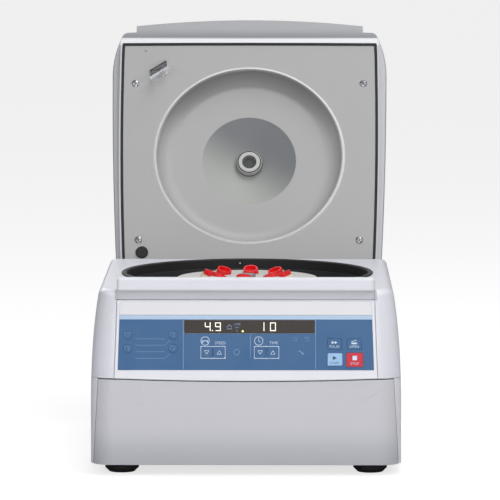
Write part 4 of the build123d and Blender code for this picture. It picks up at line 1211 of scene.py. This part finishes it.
def nearest_face(node: bpy.types.Object, out: Vector, up: Vector) -> Sheet:
    """The flat place over a turned node, seen along a direction.

    Args:
        node: the node's object.
        out: the direction out of its face.
        up: the direction up its face.

    Returns:
        A sheet on the face, its corner at the node's middle.
    """
    points = [vertex.co for vertex in node.data.vertices]
    level = max(point.dot(out) for point in points)
    heights = [point.dot(up) for point in points]
    sides = [point.x for point in points]
    corner = out * level + up * ((min(heights) + max(heights)) / 2)
    corner.x = (min(sides) + max(sides)) / 2
    return Sheet(corner, up, out)


@dataclass
class LidFittings:
    """The rings of the sight port, and where the lid's panel faces."""

    nodes: dict[str, bpy.types.Object]
    rings: tuple[tuple[str, float, float, float], ...] = (
        ("port_outline", 14.4 * MM, 15.4 * MM, 0.35 * MM),
        ("port_pale_ring", 9.4 * MM, 14.1 * MM, 0.5 * MM),
        ("port_inner_line", 8.2 * MM, 9.2 * MM, 0.35 * MM),
    )
    barrel: float = 8.0 * MM
    foot_tall: float = 3.6 * MM
    port_to_cone: float = 4.0 * MM
    port_to_panel: float = 23.0 * MM

    def facing(self) -> Vector:
        """The way the panel faces, from its largest flat face.

        Returns:
            The direction.
        """
        faces = self.nodes["lid_panel"].data.polygons
        largest = max(faces, key=lambda face: face.area)
        out = Vector((0, largest.normal.y, largest.normal.z)).normalized()
        return out if out.y < 0 else -out

    def face_of(self, node: str) -> Sheet:
        """The face of one of the lid's nodes, along the way the panel faces."""
        out = self.facing()
        return nearest_face(self.nodes[node], out, Vector((0, out.z, -out.y)))

    def over_port(self, distance: float) -> Vector:
        """A point on the port's axis, this far out of its ring's face."""
        sheet = self.face_of("port_ring")
        return sheet.corner + sheet.out * distance

    def build(self, pale: Material, dark: Material) -> None:
        """Make the rings on the face of the sight port.

        Args:
            pale: the wide ring's material.
            dark: the material of the two thin rings.
        """
        place = self.face_of("port_ring").matrix()
        for name, inner, outer, thick in self.rings:
            ring = flat_ring(inner, outer, thick)
            bmesh.ops.transform(ring, matrix=place, verts=ring.verts)
            wide = name == "port_pale_ring"
            finish_piece(name, ring, "lid", Slot.PANEL if wide else Slot.BLACK,
                         pale if wide else dark, RING_SMOOTH_DEG)
        LOG.info("sight port ringed")


@dataclass
class RotorHead:
    """Cream collars that stand round the caps in the rotor's top."""

    cream: Material
    count: int = 8
    phase_deg: float = -5.0
    tilt_deg: float = 23.0
    cap_middle_r: float = 44.6 * MM
    cap_top_z: float = 225.0 * MM
    inner: float = 9.65 * MM
    outer: float = 11.0 * MM
    thick: float = 5.0 * MM
    depth: float = 10.5 * MM
    segments: int = 40

    def build(self) -> None:
        """Make one collar for each tube, as a single piece."""
        low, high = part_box("tube_rotor")
        axis = Matrix.Translation(((low[0] + high[0]) / 2, (low[1] + high[1]) / 2, 0))
        mesh = bmesh.new()
        tilt = Matrix.Rotation(-math.radians(self.tilt_deg), 4, "Y")
        seat = Matrix.Translation((self.cap_middle_r, 0, self.cap_top_z))
        for index in range(self.count):
            angle = math.radians(self.phase_deg) + math.tau * index / self.count
            collar = flat_ring(self.inner, self.outer, self.thick, self.segments)
            place = (axis @ Matrix.Rotation(angle, 4, "Z") @ seat @ tilt
                     @ Matrix.Translation((0, 0, -self.depth)))
            bmesh.ops.transform(collar, matrix=place, verts=collar.verts)
            join_mesh(mesh, collar)
        finish_piece("sleeve_collars", mesh, "rotor", Slot.ROTOR, self.cream, RING_SMOOTH_DEG)
        LOG.info("%d sleeve collars placed", self.count)


@dataclass
class Chamber:
    """The small bright stud at the back of the chamber's seal."""

    steel: Material
    pin_x: float = -10.6 * MM
    pin_r: float = 1.5 * MM
    pin_tall: float = 2.6 * MM
    inward: float = 9.8 * MM
    below: float = 5.5 * MM

    def build(self) -> None:
        """Make the stud, a low round dome."""
        low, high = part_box("chamber_gasket")
        mesh = bmesh.new()
        bmesh.ops.create_uvsphere(mesh, u_segments=16, v_segments=10, radius=self.pin_r)
        bmesh.ops.scale(mesh, vec=(1, 1, self.pin_tall / (2 * self.pin_r)), verts=mesh.verts)
        place = Vector((self.pin_x, high[1] - self.inward, high[2] - self.below))
        bmesh.ops.translate(mesh, vec=place, verts=mesh.verts)
        finish_piece("chamber_stud", mesh, "housing", Slot.BRIGHT, self.steel)
        LOG.info("chamber stud placed")


@dataclass
class RearFittings:
    """Marks on the power switch."""

    ink: Material
    bar_half: float = 0.25 * MM
    bar_from: float = 2.4 * MM
    bar_to: float = 0.7 * MM
    ring_in: float = 1.55 * MM
    ring_r: float = 0.85 * MM
    ring_line: float = 0.3 * MM

    def build(self) -> None:
        """Print the bar and the ring beside the rocker."""
        low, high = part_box("switch_frame")
        sheet = Sheet(Vector(((low[0] + high[0]) / 2, high[1], (low[2] + high[2]) / 2)),
                      Vector((0, 0, 1)), Vector((0, 1, 0)))
        level = (high[2] - low[2]) / 2
        mark = Print(sheet)
        mark.bar(-self.bar_half, level - self.bar_from, self.bar_half, level - self.bar_to)
        mark.ring((0.0, self.ring_in - level), self.ring_r, self.ring_line)
        mark.piece("switch_marks", "housing", Slot.BLACK, self.ink)
        LOG.info("switch marked")


# ============================================================================ studio
@dataclass(frozen=True)
class SoftLight:
    """One soft lamp of the studio, or a broad even one where it has an angle."""

    name: str
    place: tuple[float, float, float]
    size: float
    power: float
    angle_deg: float = 0.0

    def build(self, target: Vector) -> None:
        """Hang the lamp and turn it to the object.

        Args:
            target: the point that it faces.
        """
        if self.angle_deg:
            data = bpy.data.lights.new(self.name, "SUN")
            data.angle = math.radians(self.angle_deg)
        else:
            data = bpy.data.lights.new(self.name, "AREA")
            data.shape = "DISK"
            data.size = self.size
        data.energy = self.power
        lamp = bpy.data.objects.new(self.name, data)
        lamp.location = self.place
        lamp.rotation_euler = (target - Vector(self.place)).to_track_quat("-Z", "Y").to_euler()
        bpy.context.scene.collection.objects.link(lamp)


@dataclass
class Studio:
    """The pale floor, the soft lights and the camera."""

    distance: float = 5.205
    height: float = 0.782
    aside: float = 0.045
    lens_mm: float = 301.32
    sensor_mm: float = 36.0
    far: float = 100.0
    tilt_deg: float = 5.806
    turn_deg: float = 0.45747
    floor_reach: float = 30.0
    floor_tone: float = 0.42
    floor_glow: float = 0.72
    sky: float = 0.14
    light_aim: float = 0.25
    lights: tuple[SoftLight, ...] = (
        SoftLight("overhead_light", (0.5, 0.0, 2.6), 1.6, 25.0),
        SoftLight("right_light", (2.0, -1.6, 2.2), 1.6, 25.0),
        SoftLight("left_light", (-2.0, -1.8, 1.8), 1.6, 14.0),
        SoftLight("front_light", (0.4, -3.6, 1.3), 2.2, 22.0),
        SoftLight("low_light", (0.0, -2.6, 0.35), 1.2, 18.0),
        SoftLight("rear_light", (-0.9, 3.6, 2.6), 0.0, 0.9, 45.0),
    )

    def build(self) -> None:
        """Make the floor, the lights and the camera."""
        self.floor()
        world = bpy.data.worlds.new("studio_world")
        world.use_nodes = True
        Graph(world.node_tree).feed(world.node_tree.nodes["Background"],
                                    Color=(1.0, 1.0, 1.0, 1.0), Strength=self.sky)
        bpy.context.scene.world = world
        for light in self.lights:
            light.build(Vector((0, 0, self.light_aim)))
        self.camera()
        LOG.info("studio ready")

    def floor(self) -> None:
        """A plain pale floor that glows a little where the camera sees it."""
        mesh = bmesh.new()
        bmesh.ops.create_grid(mesh, x_segments=1, y_segments=1, size=self.floor_reach)
        data = bpy.data.meshes.new("studio_floor")
        mesh.to_mesh(data)
        mesh.free()
        floor = bpy.data.objects.new("studio_floor", data)
        bpy.context.scene.collection.objects.link(floor)
        material = bpy.data.materials.new("studio_floor_finish")
        material.use_nodes = True
        graph = Graph(material.node_tree)
        shader = material.node_tree.nodes["Principled BSDF"]
        seen = graph.math("MULTIPLY", graph.add("LightPath").outputs["Is Camera Ray"],
                          self.floor_glow)
        tone = (self.floor_tone, self.floor_tone, self.floor_tone, 1.0)
        graph.feed(shader, Base_Color=tone, Roughness=0.9, Specular_IOR_Level=0.1,
                   Emission_Color=(1.0, 1.0, 1.0, 1.0), Emission_Strength=seen)
        data.materials.append(material)

    def camera(self) -> None:
        """The camera, from the front and a little above."""
        low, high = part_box("tube_rotor")
        axis_y = (low[1] + high[1]) / 2
        data = bpy.data.cameras.new("front_camera")
        data.sensor_width = self.sensor_mm
        data.lens = self.lens_mm
        data.clip_end = self.far
        camera = bpy.data.objects.new("front_camera", data)
        camera.location = (self.aside, axis_y - self.distance, self.height)
        tilt, turn = math.radians(self.tilt_deg), math.radians(self.turn_deg)
        forward = Vector((-math.sin(turn) * math.cos(tilt), math.cos(turn) * math.cos(tilt),
                          -math.sin(tilt)))
        camera.rotation_euler = forward.to_track_quat("-Z", "Y").to_euler()
        bpy.context.scene.collection.objects.link(camera)
        bpy.context.scene.camera = camera
        bpy.context.scene.view_settings.view_transform = "Standard"


# ============================================================================ assembly
def node_finishes(fittings: LidFittings) -> dict[str, Finish]:
    """Finishes of single nodes that differ from the rest of their slot.

    Args:
        fittings: the lid's fittings, which know where its panel faces.

    Returns:
        The finishes by node.
    """
    panel = fittings.face_of("lid_panel")
    lilac = srgb(228, 229, 238)
    return {
        # The tone above about 38 mm is the cover's own grey; the darker tone below it, blended
        # over 24 mm, is painted shade towards the bottom.
        "lower_front_cover": BandedFinish(
            "front_cover_finish", srgb(182, 182, 191), srgb(176, 176, 186), roughness=0.42,
            coat=0.06, dust=0.03, smudge=0.05, grain_tint=0.03, blend=0.024,
            bands=((0.038, srgb(207, 207, 214)),)),
        # The upper housing's own white, with painted shade on the inset band under its ridge.
        "upper_housing": HousingFinish(
            "upper_housing_finish", lilac, srgb(216, 217, 226), roughness=0.36, coat=0.1,
            dust=0.06, smudge=0.05, grain_tint=0.04, strip=srgb(192, 193, 200)),
        # The lid's panel: its own pale grey, with painted shade and a painted highlight on the
        # dish and the dip round the port.
        "lid_panel": LidPanelFinish(
            "lid_panel_finish", srgb(176, 176, 176), srgb(164, 165, 166), roughness=0.46,
            grain_size=0.0009, grain_bump=0.00004, dust=0.04, cone=srgb(118, 121, 124),
            cone_pale=srgb(164, 166, 162), bead=srgb(222, 222, 220), wall=srgb(136, 137, 136),
            cone_middle=tuple(fittings.over_port(fittings.port_to_cone)),
            bead_middle=tuple(fittings.over_port(fittings.port_to_panel))),
        "front_bezel": Finish(
            "bezel_finish", srgb(232, 233, 241), srgb(222, 223, 232), roughness=0.34, coat=0.1,
            smudge=0.05, grain_tint=0.04),
        # The lid's shell: its white set greyer than the housing's as painted shade, with a painted
        # highlight next to the gasket and darker painted shade on the underside.
        "lid_shell": LidShellFinish(
            "lid_shell_finish", srgb(200, 201, 205), srgb(190, 191, 196), roughness=0.42,
            coat=0.06, dust=0.06, smudge=0.06, grain_tint=0.05, rim=srgb(238, 240, 244),
            grip=srgb(174, 175, 178), grip_near=srgb(146, 148, 153)),
        "lid_screws": Finish(
            "dark_screw_finish", srgb(178, 180, 184), srgb(112, 114, 118), roughness=0.3,
            metallic=1.0, brushed=0.6, grain_tint=0.3, edge_wear=0.6,
            edge_colour=srgb(222, 224, 228)),
        # The striker is one steel: its plate's dark grey is painted shade, and the bright tone on
        # its foot and screw, below the level, is a painted highlight.
        "lid_striker": LevelFinish(
            "striker_finish", srgb(92, 93, 96), srgb(90, 91, 94), roughness=0.26,
            metallic=0.6, brushed=0.3, grain_tint=0.08, edge_wear=0.7,
            under=srgb(232, 233, 236), facing=tuple(panel.out),
            level=panel.corner.dot(panel.out) + fittings.foot_tall,
            edge_colour=srgb(226, 227, 230)),
        "port_ring": LevelFinish(
            "port_ring_finish", srgb(168, 169, 168), srgb(158, 159, 158), roughness=0.44,
            grain_size=0.0009, grain_bump=0.00004, under=srgb(28, 28, 30),
            facing=tuple(panel.out), level=fittings.over_port(-fittings.barrel).dot(panel.out)),
        "lid_gasket": Finish(
            "lid_gasket_finish", srgb(38, 39, 42), srgb(52, 53, 57), roughness=0.7,
            grain_size=0.0007, grain_bump=0.00005, dust=0.05),
        "rubber_feet": Finish(
            "foot_finish", srgb(26, 26, 28), srgb(40, 41, 44), roughness=0.75,
            grain_size=0.0009, grain_bump=0.00007, dust=0.08),
    }


def dress_nodes(frame: dict, finishes: dict[Slot, Material], effects: Effects,
                fittings: LidFittings) -> None:
    """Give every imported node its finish.

    Args:
        frame: the loaded frame.
        finishes: the materials by slot.
        effects: the shared node groups.
        fittings: the lid's fittings, which know where its panel faces.
    """
    slots = {row["node"]: row["material_slot"] for row in frame["record"]["subparts"]}
    own = {name: finish.build(effects) for name, finish in node_finishes(fittings).items()}
    for name, node in frame["nodes"].items():
        for holder in node.material_slots:
            holder.material = own.get(name, finishes[Slot(slots[name])])


def plain_ink(name: str, colour: Colour, effects: Effects, emission: float = 0.0) -> Material:
    """A printed ink.

    Args:
        name: the finish's name.
        colour: the ink's colour.
        effects: the shared node groups.
        emission: how strongly it glows.

    Returns:
        The material.
    """
    dim = 0.92
    second = tuple(channel * dim for channel in colour)
    return Finish(name, colour, second, grain_bump=0.000004, emission=emission,
                  grain_size=0.0006).build(effects)


def main() -> None:
    """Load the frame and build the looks."""
    logging.basicConfig(level=logging.INFO, format="%(name)s: %(message)s")
    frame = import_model()
    effects = Effects()
    finishes = {slot: finish.build(effects) for slot, finish in all_finishes().items()}
    fittings = LidFittings(frame["nodes"])
    dress_nodes(frame, finishes, effects, fittings)
    Keypad(
        ink=plain_ink("ink_white_blue", srgb(222, 238, 255), effects),
        pale_ink=plain_ink("ink_pale_blue", srgb(140, 178, 216), effects),
        dark_ink=plain_ink("ink_dark", srgb(52, 70, 96), effects),
        digit_ink=plain_ink("ink_digits", srgb(255, 252, 238), effects, 0.55),
        lamp=plain_ink("ink_lamp", srgb(226, 255, 150), effects, 1.2),
    ).build()
    fittings.build(plain_ink("port_ring_pale", srgb(194, 195, 192), effects),
                   finishes[Slot.BLACK])
    RotorHead(plain_ink("cream_collar", srgb(232, 222, 196), effects)).build()
    Chamber(finishes[Slot.BRIGHT]).build()
    RearFittings(plain_ink("ink_switch", srgb(226, 226, 226), effects)).build()
    Studio().build()


if __name__ == "__main__":
    main()
